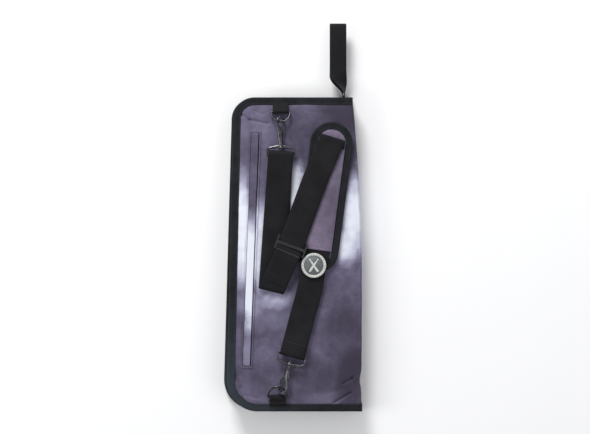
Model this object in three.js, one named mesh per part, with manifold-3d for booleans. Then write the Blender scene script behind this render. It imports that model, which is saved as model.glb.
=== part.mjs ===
// Drum stick bag: a flat book-fold fabric bag with a zip round three sides, a clip-on shoulder strap
// with a pad, and a twisted webbing handle.  Millimetres.  The bag lies on its back with its front
// face up (+Z), its top edge towards +Y and its spine (the fold) towards +X.
// Inside the file y = 0 is the bag's bottom edge and z = 0 is the surface that it lies on; the whole
// group is then moved so that the origin is the middle of the object's footprint.

import * as THREE from 'three';
import { mergeVertices } from 'three/addons/utils/BufferGeometryUtils.js';
import Module from 'manifold-3d';

const wasm = await Module();
wasm.setup();

// ---------------------------------------------------------------- driving dimensions (mm)

const clearance = 0.3;            // between pieces that touch or nest

// bag outline
const bagLength = 472;
const bottomWidth = 209;
const topWidth = 181.6;
const topCornerRadius = 32;
const bottomCornerRadius = 46;
const spineBow = 7.3;             // how far the spine swells past the straight taper
const spineBowSkew = 1.25;        // puts the fullest place above the middle
const frontSetbackTop = 3;        // the front half's zip side stands in from the back half's
const frontSetbackBottom = 6;

// bag thickness, from the floor up
const bagThickness = 40;
const panelThickness = 6;
const liningThickness = 1;
const bindingWidth = 12;
const bindingThickness = 7;
const bindingDrop = 1.5;          // binding face below the padded face
const edgeEase = 1.5;             // bevel round the panels and bindings
const spineSkin = 1.2;
const spineMargin = 2.2;          // panels and bindings stop this far inside the spine
const spineEndGap = 1;

// main zip
const zipInset = 8;               // tape stands this far under the binding's outer edge
const tapeThickness = 1.2;
const coilHeight = 1.2;
const coilWidth = 2;
const coilGap = 1.6;              // between the two rows of coil, where the slider's web runs
const sliderLength = 11;
const sliderHeight = 8;
const sliderPlate = 1.2;
const pullLength = 28;
const pullWidth = 7;
const sliderParkY = 326;          // where the two main sliders meet on the zip side
const sliderSpacing = 14;

// inside pockets: how far each stands in from the zip side and from the spine
const stickPocketMargin = { zip: 18.1, spine: 18.84 };
const stickPocketFloor = 24;
const stickPocketLength = 300;
const stickPocketSlots = 4;
const accessoryMargin = { zip: 28.58, spine: 24.37 };
const accessoryFloor = 34;
const accessoryLength = 170;
const accessoryDepth = 6;
const pocketGap = 0.7;            // between the two pockets with the bag shut
const pocketSkin = 1;

// outer pocket with its covered zip, on the front half
const weltInset = 36.04;          // its centre line in from the zip side
const weltRise = 7.3;             // its middle above the bag's middle
const weltEndMargin = 57.5;
const weltSkew = 0.49;            // degrees past the lean of the zip side
const weltWidth = 18;
const weltBorder = 2.7;
const weltThickness = 0.8;
const weltSlotWidth = 10;
const pocketTapeWidth = 9.2;
const pocketTapeThickness = 0.8;
const pocketBagMargin = { zip: 12.89, spine: 15 };
const pocketBagFloor = 60;
const pocketBagTopMargin = 48;
const pocketBagThickness = 1.4;
const pocketBagRoom = 2.5;        // between the front panel and its lining

// webbing
const strapWidth = 38;
const strapThickness = 1.5;
const tabWidth = 24;
const tabPly = 1.2;
const tabSlack = 0.1;

// D-rings: bar inside the tab, bow of the D lifted by the hook
const ringWire = 3;
const ringEase = 0.5;             // beside the tab, each side
const ringWidth = tabWidth + 2 * (ringWire + ringEase);
const ringReach = 16.6;           // bar centre to the middle of the wire at the far end
const ringLift = 20.8;            // degrees the clipped ring leans up from the panel
const ringBarHeight = ringWire / 2 + tabPly + tabSlack + 2 * clearance;
const upperRing = { x: -17, y: bagLength - 21.8 };
const lowerRing = { x: -21.5, y: 22.3 };

// snap hooks, measured from the middle of the strap bar towards the eye
const hookHeight = 9.3;           // hook axis above the front face
const hookRoll = 42;              // degrees: the gate side hangs down
const bowRail = 2.4;
const bowEase = 0.6;              // beside the strap, each side
const bowWidth = strapWidth + 2 * (bowRail + bowEase);
const bowLength = 13.5;
const bowWire = 4;
const bowCorner = 3;
const bowBoss = { width: 9, depth: 6, length: 5 };
const shankStart = 17.2;
const shankRadius = 3.3;
const eyeCentre = 52.1;
const eyeRadius = 7.2;
const eyeWire = 3.4;
const hookDepth = 3.6;
const gateThickness = 2;
const gatePivot = { x: 1.8, y: 29.5 };
const gatePinRadius = 0.9;
const gateKnuckle = 2;
const rivetRadius = 1.6;
const upperHook = { x: upperRing.x + 0.1, y: upperRing.y - 68, heading: 0 };
const lowerEye = { x: lowerRing.x + 7.74, y: lowerRing.y + 14.02 };
const lowerHookLag = -0.73;       // degrees between the lower hook and the strap that pulls on it

// strap route in plan, from the middle and from the bag's top edge
const routePoint = (x, down) => ({ x, y: bagLength - down });
const foldDown = 291.4;
const foldInset = 67.86;          // from the zip side, so that the strap clears the outer pocket
const foldPoint = routePoint(zipSideX(bagLength - foldDown) + foldInset, foldDown);
const padRun = [routePoint(14.9, 177.8), routePoint(34.6, 124.3), routePoint(61.5, 64)];
const badgePoint = routePoint(32.6, 252.2);
const lowerBend = routePoint(26.2, 289.3);
const pullToEye = directionOf(lowerBend, lowerEye);
const lowerHeading = THREE.MathUtils.radToDeg(Math.atan2(-pullToEye.x, pullToEye.y)) + lowerHookLag;
const lowerHook = { ...along(lowerEye, hookAxis({ heading: lowerHeading }), -eyeCentre), heading: lowerHeading };
const plyPitch = strapThickness + clearance;
const strapLoopRadius = 3.5;
const foldSlack = 0.6;            // extra room where four plies lie on each other

// strap slider (three bars)
const glide = { ease: 1.7, length: 21, rail: 2.8, bar: 4.4, endBar: 2.4, thickness: 1.75 };
glide.width = strapWidth + 2 * (glide.rail + glide.ease);

// shoulder pad
const sleeveSkin = 1;
const sleeveEase = 1.1;           // beside the strap, each side
const sleeveSeam = 0.4;           // between the sleeve's side and the pad's binding
const padBinding = 10.5;
const padWidth = strapWidth + 2 * (sleeveEase + sleeveSkin + sleeveSeam + padBinding);
const padLength = 226;
const padThickness = 6;
const padTilt = 7.5;
const padTop = routePoint(59.3, 69.6);     // centre of the upper round end
const hemDistance = 161;          // from there down to the sleeve's lower hem
const sleeveLength = 154;

// round badge, and the strap slider just clear of it
const badgeRadius = 18.5;
const badgeOverlap = 7.9;         // how far the slider's end comes in beside the badge
const sliderPoint = routePoint(badgePoint.x - badgeRadius - glide.width / 2 + badgeOverlap, 223.3);
const badgeRim = 3.9;
const badgeBase = 1.6;

// handle
const handleLength = 110.4;
const handleWidth = 25;
const handlePly = 1.5;
const handleGap = 9;
const handleBase = { x: topWidth / 2 - 12.8, y: bagLength + 2 };
const handleTwistLength = 40;
const handleLean = 8.5;

const overallLength = handleBase.y + handleLength;

// ---------------------------------------------------------------- derived levels

const frontFace = bagThickness;
const middle = bagThickness / 2;
const plyOnPanel = frontFace + clearance + strapThickness / 2;
const hookZ = frontFace + hookHeight;
const padTopZ = frontFace + clearance + padThickness;
const sleevePlyZ = padTopZ + clearance + strapThickness / 2;
const sleeveZ = sleevePlyZ + strapThickness / 2 + clearance;
const padRunZ = sleeveZ + sleeveSkin + glide.thickness + 2 * clearance + strapThickness / 2;
const backLiningTop = panelThickness + liningThickness + 2 * clearance;
const frontPanelLow = bagThickness - panelThickness;
const frontLiningLow = frontPanelLow - clearance - pocketBagRoom - liningThickness;
const stickPocketDepth = frontLiningLow - clearance - accessoryDepth - pocketGap - backLiningTop;

// ---------------------------------------------------------------- helpers

const radians = THREE.MathUtils.degToRad;
const bag = new THREE.Group();
bag.position.set(0, -overallLength / 2, 0);

const finishes = {
  print: { color: 0x6a6478, roughness: 0.8, metalness: 0 },
  binding: { color: 0x202124, roughness: 0.85, metalness: 0 },
  lining: { color: 0x1a1a1e, roughness: 0.9, metalness: 0 },
  webbing: { color: 0x1c1c1f, roughness: 0.8, metalness: 0 },
  zip: { color: 0x26272a, roughness: 0.6, metalness: 0 },
  metal: { color: 0x55575c, roughness: 0.35, metalness: 0.9 },
  plastic: { color: 0x1b1b1d, roughness: 0.45, metalness: 0 },
  badgeLight: { color: 0xc9c9c5, roughness: 0.4, metalness: 0.2 },
  badgeDark: { color: 0x4b4e50, roughness: 0.5, metalness: 0.1 },
};

function addPiece(parent, name, geometry, finish, place = {}) {
  const mesh = new THREE.Mesh(geometry, new THREE.MeshStandardMaterial(finishes[finish]));
  mesh.name = name;
  mesh.position.set(place.x ?? 0, place.y ?? 0, place.z ?? 0);
  mesh.rotation.z = radians(place.turn ?? 0);
  parent.add(mesh);
  return mesh;
}

function toSolid(geometry) {
  const bare = geometry.clone();
  bare.deleteAttribute('normal');
  bare.deleteAttribute('uv');
  const merged = mergeVertices(bare, 1e-4);
  return new wasm.Manifold(new wasm.Mesh({
    numProp: 3,
    vertProperties: new Float32Array(merged.attributes.position.array),
    triVerts: new Uint32Array(merged.index.array),
  }));
}

function toGeometry(solid) {
  const mesh = solid.getMesh();
  const geometry = new THREE.BufferGeometry();
  geometry.setAttribute('position', new THREE.BufferAttribute(new Float32Array(mesh.vertProperties), 3));
  geometry.setIndex(new THREE.BufferAttribute(new Uint32Array(mesh.triVerts), 1));
  return geometry;
}

function join(...geometries) {
  return toGeometry(geometries.map(toSolid).reduce((whole, next) => whole.add(next)));
}

function cut(geometry, ...tools) {
  return toGeometry(tools.map(toSolid).reduce((rest, tool) => rest.subtract(tool), toSolid(geometry)));
}

// A box given by its limits on each axis.
function block([x0, x1], [y0, y1], [z0, z1]) {
  const geometry = new THREE.BoxGeometry(x1 - x0, y1 - y0, z1 - z0);
  return geometry.translate((x0 + x1) / 2, (y0 + y1) / 2, (z0 + z1) / 2);
}

// A flat shape raised from z0 to z1, with its edges eased by a bevel that stays inside the outline.
function raise(shape, z0, z1, bevel = 0, curveSegments = 8) {
  const geometry = new THREE.ExtrudeGeometry(shape, {
    depth: z1 - z0 - 2 * bevel,
    bevelEnabled: bevel > 0,
    bevelThickness: bevel,
    bevelSize: bevel,
    bevelOffset: -bevel,
    bevelSegments: 1,
    curveSegments,
  });
  return geometry.translate(0, 0, z0 + bevel);
}

function polygon(points) {
  return new THREE.Shape(points.map(([x, y]) => new THREE.Vector2(x, y)));
}

function rectangle(width, length) {
  return polygon([
    [-width / 2, -length / 2], [width / 2, -length / 2], [width / 2, length / 2], [-width / 2, length / 2],
  ]);
}

function capsule(radius, spread) {
  const shape = new THREE.Shape();
  shape.absarc(0, spread / 2, radius, 0, Math.PI);
  shape.absarc(0, -spread / 2, radius, Math.PI, 2 * Math.PI);
  shape.closePath();
  return shape;
}

function round(radius, z0, z1, sides = 32) {
  const geometry = new THREE.CylinderGeometry(radius, radius, z1 - z0, sides);
  return geometry.rotateX(Math.PI / 2).translate(0, 0, (z0 + z1) / 2);
}

// Flat webbing of one ply swept along a list of points, its width lying level.
function ribbon(points, width, thickness, step) {
  const path = new THREE.CatmullRomCurve3(points, false, 'centripetal');
  const section = rectangle(thickness, width);
  return new THREE.ExtrudeGeometry(section, {
    steps: Math.round(path.getLength() / step),
    bevelEnabled: false,
    extrudePath: path,
  });
}

// A half turn in a vertical plane round a bar: from the ply on one side to the ply on the other.
function halfTurn(centre, heading, radius, startAbove) {
  const turns = 6;
  const sign = startAbove ? 1 : -1;
  const points = [];
  for (let i = 0; i <= turns; i += 1) {
    const angle = Math.PI * i / turns;
    const out = radius * Math.sin(angle);
    points.push(new THREE.Vector3(
      centre.x + heading.x * out,
      centre.y + heading.y * out,
      centre.z + sign * radius * Math.cos(angle),
    ));
  }
  return points;
}

function at(point, z) {
  return new THREE.Vector3(point.x, point.y, z);
}

function between(a, b, share) {
  return { x: a.x + (b.x - a.x) * share, y: a.y + (b.y - a.y) * share };
}

function directionOf(a, b) {
  const length = Math.hypot(b.x - a.x, b.y - a.y);
  return { x: (b.x - a.x) / length, y: (b.y - a.y) / length };
}

function along(point, direction, distance) {
  return { x: point.x + direction.x * distance, y: point.y + direction.y * distance };
}

// ---------------------------------------------------------------- bag outline

function taperedHalf(y) {
  return bottomWidth / 2 + (topWidth - bottomWidth) / 2 * y / bagLength;
}

function spineX(y) {
  const share = THREE.MathUtils.clamp(y / bagLength, 0, 1);
  return taperedHalf(y) + spineBow * Math.sin(Math.PI * share ** spineBowSkew);
}

function setbackAt(y) {
  return frontSetbackBottom + (frontSetbackTop - frontSetbackBottom) * y / bagLength;
}

function zipSideX(y) {
  return -taperedHalf(y);
}

function corner(centreX, centreY, radius, fromAngle) {
  const steps = 6;
  const points = [];
  for (let i = 0; i <= steps; i += 1) {
    const angle = fromAngle + Math.PI / 2 * i / steps;
    points.push([centreX + radius * Math.cos(angle), centreY + radius * Math.sin(angle)]);
  }
  return points;
}

// The three zipped sides, from the spine's top end round to its bottom end, moved in by an inset.
function openEdge(inset, front = false) {
  const topY = bagLength - topCornerRadius;
  const setback = (y) => (front ? setbackAt(y) : 0);
  const topX = zipSideX(topY) + setback(topY) + topCornerRadius;
  const bottomX = zipSideX(bottomCornerRadius) + setback(bottomCornerRadius) + bottomCornerRadius;
  return [
    [spineX(bagLength) - spineMargin, bagLength - inset],
    ...corner(topX, topY, topCornerRadius - inset, Math.PI / 2),
    ...corner(bottomX, bottomCornerRadius, bottomCornerRadius - inset, Math.PI),
    [spineX(inset) - spineMargin, inset],
  ];
}

function spineEdge(fromY, toY, inset) {
  const steps = 10;
  const points = [];
  for (let i = 0; i <= steps; i += 1) {
    const y = fromY + (toY - fromY) * i / steps;
    points.push([spineX(y) - inset, y]);
  }
  return points;
}

function edgeStrip(outerInset, innerInset, front) {
  return polygon([...openEdge(outerInset, front), ...openEdge(innerInset, front).reverse()]);
}

function panelShape(inset, front) {
  const edge = openEdge(inset, front);
  const spine = spineEdge(inset, bagLength - inset, spineMargin).slice(1, -1);
  return polygon([...edge, ...spine]);
}

const zipSideTilt = Math.atan((bottomWidth - topWidth) / 2 / bagLength);
const weltLength = bagLength - 2 * weltEndMargin;
const weltY = bagLength / 2 + weltRise;
const weltCentre = { x: zipSideX(weltY) + weltInset, y: weltY };
const weltTilt = THREE.MathUtils.radToDeg(zipSideTilt) + weltSkew;
const pocketZipLength = weltLength - 4 * weltBorder;

// Left and right limits of a pocket between two heights, in from the zip side and from the spine.
function pocketSpan(margin, fromY, toY, front) {
  const edge = (y) => {
    const drop = Math.max(0, bottomCornerRadius - y, y - bagLength + topCornerRadius);
    const radius = y < bagLength / 2 ? bottomCornerRadius : topCornerRadius;
    return zipSideX(y) + (front ? setbackAt(y) : 0) + radius - Math.sqrt(radius ** 2 - drop ** 2);
  };
  return [Math.max(edge(fromY), edge(toY)) + margin.zip, Math.min(spineX(fromY), spineX(toY)) - margin.spine];
}

// ---------------------------------------------------------------- the two halves

function addHalf(name, front) {
  const level = (z) => (front ? bagThickness - z : z);
  const slab = (shape, z0, z1, bevel) => {
    const [low, high] = [level(z0), level(z1)].sort((a, b) => a - b);
    return raise(shape, low, high, bevel);
  };
  const panelInset = bindingWidth + clearance;
  const liningLow = panelThickness + clearance;
  const bindingTop = bindingDrop + bindingThickness;
  const coilLow = middle - coilGap / 2 - coilHeight;

  let panel = slab(panelShape(panelInset, front), 0, panelThickness, edgeEase);
  if (front) {
    const slot = raise(rectangle(weltSlotWidth, pocketZipLength), 0, 2 * bagThickness);
    panel = cut(panel, slot.rotateZ(radians(-weltTilt)).translate(weltCentre.x, weltCentre.y, 0));
  }
  addPiece(bag, `${name}_panel`, panel, 'print');
  addPiece(bag, `${name}_binding`, slab(edgeStrip(0, bindingWidth, front), bindingDrop, bindingTop, edgeEase),
    'binding');
  const liningShape = panelShape(bindingWidth + 2 * clearance, front);
  const liningZ = front ? liningLow + pocketBagRoom : liningLow;
  addPiece(bag, `${name}_lining`, slab(liningShape, liningZ, liningZ + liningThickness, 0), 'lining');
  addPiece(bag, `${name}_zip_tape`, slab(edgeStrip(zipInset, zipInset + tapeThickness, false),
    bindingTop + clearance, coilLow - clearance, 0), 'zip');
  const coilInset = zipInset + (tapeThickness - coilWidth) / 2;
  addPiece(bag, `${name}_zip_coil`, slab(edgeStrip(coilInset, coilInset + coilWidth, false),
    coilLow, coilLow + coilHeight, 0), 'zip');
  const [low, high] = [spineEndGap, bagLength - spineEndGap];
  const spine = polygon([...spineEdge(low, high, 0), ...spineEdge(low, high, spineSkin).reverse()]);
  addPiece(bag, `${name}_spine`, slab(spine, bindingDrop, middle - clearance, 0), 'print');
}

addHalf('back', false);
addHalf('front', true);

// ---------------------------------------------------------------- inside pockets

// A row of slots sewn down on a lining: walls along the length, one skin over them and a closed foot.
// The lining is at z0 and the skin's outer face at z1, above or below it.
function pocketSolid([left, right], [foot, mouth], z0, z1, slots) {
  const skinInner = z1 - Math.sign(z1 - z0) * pocketSkin;
  const skin = [Math.min(skinInner, z1), Math.max(skinInner, z1)];
  const depth = [Math.min(z0, z1), Math.max(z0, z1)];
  const pieces = [block([left, right], [foot, mouth], skin)];
  for (let i = 0; i <= slots; i += 1) {
    const x = left + (right - left - pocketSkin) * i / slots;
    pieces.push(block([x, x + pocketSkin], [foot, mouth], depth));
  }
  pieces.push(block([left, right], [foot, foot + pocketSkin], depth));
  return join(...pieces);
}

const stickPocketY = [stickPocketFloor, stickPocketFloor + stickPocketLength];
const stickPocket = pocketSolid(pocketSpan(stickPocketMargin, ...stickPocketY, false), stickPocketY,
  backLiningTop, backLiningTop + stickPocketDepth, stickPocketSlots);
addPiece(bag, 'stick_pocket', stickPocket, 'lining');
const accessoryY = [accessoryFloor, accessoryFloor + accessoryLength];
const accessoryTop = frontLiningLow - clearance;
const accessoryPocket = pocketSolid(pocketSpan(accessoryMargin, ...accessoryY, false), accessoryY,
  accessoryTop, accessoryTop - accessoryDepth, 1);
addPiece(bag, 'accessory_pocket', accessoryPocket, 'lining');

// ---------------------------------------------------------------- outer pocket

const weltPlace = { ...weltCentre, turn: -weltTilt };
const weltLow = frontFace + clearance;
const weltFrame = rectangle(weltWidth, weltLength);
weltFrame.holes.push(rectangle(weltWidth - 2 * weltBorder, weltLength - 2 * weltBorder));
addPiece(bag, 'pocket_frame', raise(weltFrame, weltLow, weltLow + weltThickness), 'print', weltPlace);
const flapInset = 2 * (weltBorder + clearance);
const flapShape = rectangle(weltWidth - flapInset, weltLength - flapInset);
addPiece(bag, 'pocket_flap', raise(flapShape, weltLow, weltLow + weltThickness), 'print', weltPlace);
const pocketTapeZ = frontPanelLow + clearance;
const pocketTapeShape = rectangle(pocketTapeWidth, pocketZipLength - 2 * clearance);
addPiece(bag, 'pocket_zip_tape', raise(pocketTapeShape, pocketTapeZ, pocketTapeZ + pocketTapeThickness),
  'zip', weltPlace);

// The pocket's small slider: a body on the tape and a tag that lies along it.
const pocketSliderHalf = { body: 3, tag: 1.5 };
const pocketSliderY = -pocketZipLength / 2 + 8;
const pocketSliderZ = pocketTapeZ + pocketTapeThickness + clearance;
const pocketSliderTop = pocketSliderZ + 1.8;
const pocketSlider = join(
  block([-pocketSliderHalf.body, pocketSliderHalf.body], [pocketSliderY - 5, pocketSliderY + 5],
    [pocketSliderZ, pocketSliderTop]),
  block([-pocketSliderHalf.tag, pocketSliderHalf.tag], [pocketSliderY + 4, pocketSliderY + 20],
    [pocketSliderTop - 1, pocketSliderTop]),
);
addPiece(bag, 'pocket_zip_slider', pocketSlider, 'metal', weltPlace);
const pocketBagY = [pocketBagFloor, bagLength - pocketBagTopMargin];
const pocketBagTop = frontPanelLow - 2 * clearance;
addPiece(bag, 'pocket_bag', block(pocketSpan(pocketBagMargin, ...pocketBagY, true), pocketBagY,
  [pocketBagTop - pocketBagThickness, pocketBagTop]), 'lining');

// ---------------------------------------------------------------- main zip sliders and pulls

// In its own frame a slider runs along Y, its outer face looks towards -X and its web lies at z = 0.
function sliderSolid() {
  const half = sliderLength / 2;
  const high = sliderHeight / 2;
  const web = coilGap / 2 - clearance;
  const innerX = tapeThickness / 2 + coilWidth / 2 + clearance;
  const archTop = sliderPlate + 3.6;
  const archFoot = 4;
  const face = -innerX;
  return join(
    block([face - sliderPlate, face], [-half, half], [-high, high]),
    block([face - 0.2, innerX + 0.2], [-half + 2, half - 2], [-web, web]),
    block([innerX, innerX + sliderPlate], [-half, half], [-high, high]),
    block([face - archTop, face - sliderPlate + 0.1], [-archFoot, -archFoot + 1], [-0.7, 0.7]),
    block([face - archTop, face - sliderPlate + 0.1], [archFoot - 1, archFoot], [-0.7, 0.7]),
    block([face - archTop, face - archTop + 0.9], [-archFoot, archFoot], [-0.7, 0.7]),
  );
}

// The pull is a flat tag whose end bar runs under the slider's arch.
function pullSolid() {
  const tag = new THREE.Shape();
  const half = pullWidth / 2;
  tag.moveTo(-half, -0.6);
  tag.lineTo(half, -0.6);
  tag.lineTo(half, pullLength - half);
  tag.absarc(0, pullLength - half, half, 0, Math.PI);
  tag.closePath();
  tag.holes.push(polygon([[-1.7, 0.6], [-1.7, 6], [1.7, 6], [1.7, 0.6]]));
  return raise(tag, -0.55, 0.55, 0, 4).rotateY(Math.PI / 2);
}

const pullOffset = tapeThickness / 2 + coilWidth / 2 + clearance + sliderPlate + clearance + 0.75;
for (const [name, direction] of [['upper', 1], ['lower', -1]]) {
  const y = sliderParkY + direction * sliderSpacing / 2;
  const seat = new THREE.Group();
  seat.position.set(zipSideX(y) + zipInset + tapeThickness / 2, y, middle);
  seat.rotation.z = -zipSideTilt;
  bag.add(seat);
  addPiece(seat, `zip_slider_${name}`, sliderSolid(), 'metal');
  const pull = addPiece(seat, `zip_pull_${name}`, pullSolid(), 'metal', { x: -pullOffset });
  pull.rotation.x = direction > 0 ? 0 : Math.PI;
}

// ---------------------------------------------------------------- ring tabs and D-rings

// A tab is one folded ply of webbing: a teardrop in side view with the ring's bar through its eye.
function tabSolid(reach) {
  const outer = ringWire / 2 + clearance + tabPly;
  const side = new THREE.Shape();
  side.moveTo(reach, -ringBarHeight + clearance);
  side.lineTo(reach, -ringBarHeight + clearance + 2 * tabPly);
  side.lineTo(outer * 0.8, outer * 0.75);
  side.absarc(0, 0, outer, Math.PI * 0.28, Math.PI * 1.5);
  side.closePath();
  const eye = new THREE.Path();
  eye.absarc(0, 0, ringWire / 2 + clearance, 0, 2 * Math.PI);
  side.holes.push(eye);
  const tab = raise(side, -tabWidth / 2, tabWidth / 2, 0, 10);
  return tab.rotateY(Math.PI / 2).rotateX(Math.PI / 2);
}

// The ring lies in the XY plane, bar on the X axis through the origin, its bow towards -Y.
function ringSolid() {
  const outerHalf = ringWidth / 2;
  const bowCentre = -(ringReach + ringWire / 2 - outerHalf);
  const outer = new THREE.Shape();
  outer.moveTo(outerHalf, ringWire / 2);
  outer.lineTo(-outerHalf, ringWire / 2);
  outer.lineTo(-outerHalf, bowCentre);
  outer.absarc(0, bowCentre, outerHalf, Math.PI, 2 * Math.PI);
  outer.closePath();
  const inner = new THREE.Path();
  const innerHalf = outerHalf - ringWire;
  inner.moveTo(innerHalf, -ringWire / 2);
  inner.lineTo(innerHalf, bowCentre);
  inner.absarc(0, bowCentre, innerHalf, 2 * Math.PI, Math.PI, true);
  inner.lineTo(-innerHalf, -ringWire / 2);
  inner.closePath();
  outer.holes.push(inner);
  return raise(outer, -ringWire / 2, ringWire / 2, 0.85, 12);
}

for (const [name, ring, side] of [['upper', upperRing, 1], ['lower', lowerRing, -1]]) {
  const seat = new THREE.Group();
  seat.position.set(ring.x, ring.y, frontFace + ringBarHeight);
  seat.rotation.z = side > 0 ? 0 : Math.PI;
  bag.add(seat);
  const edge = side > 0 ? bagLength - bindingWidth - ring.y : ring.y - bindingWidth;
  addPiece(seat, `ring_tab_${name}`, tabSolid(edge - clearance), 'webbing');
  const dRing = addPiece(seat, `d_ring_${name}`, ringSolid(), 'metal');
  dRing.rotation.x = radians(-ringLift);
}

// ---------------------------------------------------------------- snap hooks

// Every hook piece shares one frame: strap bar along X through the origin, eye towards +Y.
function bowSolid() {
  const half = bowWidth / 2;
  const wire = bowWire;
  const outer = polygon([
    [-half, -wire / 2], [half, -wire / 2], [half, bowLength - bowCorner], [half - bowCorner, bowLength],
    [6, bowLength + wire / 2], [-6, bowLength + wire / 2],
    [-half + bowCorner, bowLength], [-half, bowLength - bowCorner],
  ]);
  const window = half - bowRail;
  outer.holes.push(polygon([
    [-window, wire / 2], [-window, bowLength - 5], [-window + 2, bowLength - 3], [-3, bowLength - 1.5],
    [3, bowLength - 1.5], [window - 2, bowLength - 3], [window, bowLength - 5], [window, wire / 2],
  ]));
  const frame = raise(outer, -wire / 2, wire / 2, 0.8);
  const { width, depth, length } = bowBoss;
  const boss = block([-width / 2, width / 2], [shankStart - clearance - length, shankStart - clearance],
    [-depth / 2, depth / 2]);
  const bore = round(rivetRadius + clearance, 0, 12, 16).rotateX(-Math.PI / 2).translate(0, bowLength - 5, 0);
  return cut(join(frame, boss), bore);
}

function hookSolid() {
  const outerR = eyeRadius + eyeWire / 2;
  const innerR = eyeRadius - eyeWire / 2;
  const nose = -0.36;
  const shape = new THREE.Shape();
  shape.moveTo(-shankRadius, shankStart + 2);
  shape.lineTo(-outerR, eyeCentre);
  shape.absarc(0, eyeCentre, outerR, Math.PI, nose, true);
  shape.absarc(0, eyeCentre, innerR, nose, Math.PI, false);
  shape.lineTo(-innerR + 0.2, eyeCentre - 4);
  shape.lineTo(shankRadius, gatePivot.y + 5.5);
  shape.lineTo(shankRadius, shankStart + 2);
  shape.closePath();
  const body = raise(shape, -hookDepth / 2, hookDepth / 2, 0.7, 12);
  const shank = new THREE.CylinderGeometry(shankRadius + 0.6, shankRadius, 17, 16);
  shank.translate(0, shankStart + 8.5, 0);
  const slot = block([-0.6, 9], [gatePivot.y - 4, gatePivot.y + 12],
    [-gateThickness / 2 - clearance, gateThickness / 2 + clearance + 0.9]);
  const pinHole = round(gatePinRadius + clearance, -5, 5, 16).translate(gatePivot.x, gatePivot.y, 0);
  const rivetHole = round(rivetRadius + clearance, -1, 7, 16).rotateX(-Math.PI / 2).translate(0, shankStart, 0);
  return cut(join(body, shank), slot, pinHole, rivetHole);
}

function gateSolid() {
  const tipY = eyeCentre - 3.5;
  const x = gatePivot.x;
  const shape = new THREE.Shape();
  shape.moveTo(x + 2, gatePivot.y - 1.6);
  shape.lineTo(x + 4.6, gatePivot.y + 5);
  shape.lineTo(x + 7, gatePivot.y + 8);
  shape.lineTo(x + 6.9, gatePivot.y + 10);
  shape.lineTo(eyeRadius + 1.2, gatePivot.y + 12);
  shape.lineTo(eyeRadius + 1.2, tipY);
  shape.lineTo(eyeRadius - 1.2, tipY);
  shape.lineTo(eyeRadius - 1.8, gatePivot.y + 11);
  shape.lineTo(x - 1.6, gatePivot.y + 1.6);
  shape.absarc(x, gatePivot.y, gateKnuckle, Math.PI * 0.75, Math.PI * 1.7, false);
  shape.closePath();
  const hole = new THREE.Path();
  hole.absarc(x, gatePivot.y, gatePinRadius + clearance, 0, 2 * Math.PI);
  shape.holes.push(hole);
  return raise(shape, -gateThickness / 2, gateThickness / 2, 0, 8);
}

function springSolid() {
  const low = gateThickness / 2 + 0.25;
  const profile = [[gatePinRadius + 0.25, low], [gatePinRadius + 0.95, low],
    [gatePinRadius + 0.95, low + 0.7], [gatePinRadius + 0.25, low + 0.7], [gatePinRadius + 0.25, low]];
  const spring = new THREE.LatheGeometry(profile.map(([r, z]) => new THREE.Vector2(r, z)), 16);
  return spring.rotateX(Math.PI / 2);
}

function rivetSolid() {
  const head = new THREE.CylinderGeometry(3, 2.6, 1.4, 16);
  head.translate(0, shankStart - clearance - bowBoss.length - clearance - 0.7, 0);
  const low = shankStart - clearance - bowBoss.length - clearance - 0.8;
  const shaft = new THREE.CylinderGeometry(rivetRadius, rivetRadius, shankStart + 6.6 - low, 16);
  shaft.translate(0, (shankStart + 6.6 + low) / 2, 0);
  return join(head, shaft);
}

for (const [name, hook] of [['upper', upperHook], ['lower', lowerHook]]) {
  const seat = new THREE.Group();
  seat.position.set(hook.x, hook.y, hookZ);
  seat.rotation.z = radians(hook.heading);
  bag.add(seat);
  addPiece(seat, `hook_bow_${name}`, bowSolid(), 'metal');
  const swivel = new THREE.Group();
  swivel.rotation.y = radians(hookRoll);
  seat.add(swivel);
  addPiece(swivel, `hook_body_${name}`, hookSolid(), 'metal');
  addPiece(swivel, `hook_rivet_${name}`, rivetSolid(), 'metal');
  addPiece(swivel, `hook_gate_${name}`, gateSolid(), 'metal');
  addPiece(swivel, `gate_pin_${name}`, round(gatePinRadius, -shankRadius, shankRadius, 16), 'metal', gatePivot);
  addPiece(swivel, `gate_spring_${name}`, springSolid(), 'metal', gatePivot);
}

// ---------------------------------------------------------------- shoulder strap

function hookAxis(hook) {
  const turn = THREE.MathUtils.degToRad(hook.heading);
  return { x: -Math.sin(turn), y: Math.cos(turn) };
}

const toUpperHook = directionOf(foldPoint, upperHook);
const fromFold = directionOf(foldPoint, sliderPoint);
const foldSpan = Math.hypot(upperHook.x - foldPoint.x, upperHook.y - foldPoint.y);

// Two plies from the fold to the upper hook, joined round its bar.
const upperPoints = [
  at(along(foldPoint, toUpperHook, -14), plyOnPanel),
  at(between(foldPoint, upperHook, 0.35), plyOnPanel),
  at(along(foldPoint, toUpperHook, foldSpan - 40), plyOnPanel + 1.5),
  ...halfTurn(at(upperHook, hookZ), hookAxis(upperHook), strapLoopRadius, false),
  at(along(foldPoint, toUpperHook, foldSpan - 40), plyOnPanel + 1.5 + 1.5 * plyPitch),
  at(between(foldPoint, upperHook, 0.35), plyOnPanel + plyPitch),
  at(along(foldPoint, toUpperHook, -14), plyOnPanel + plyPitch),
];
addPiece(bag, 'strap_upper_run', ribbon(upperPoints, strapWidth, strapThickness, 2.8), 'webbing');

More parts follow.
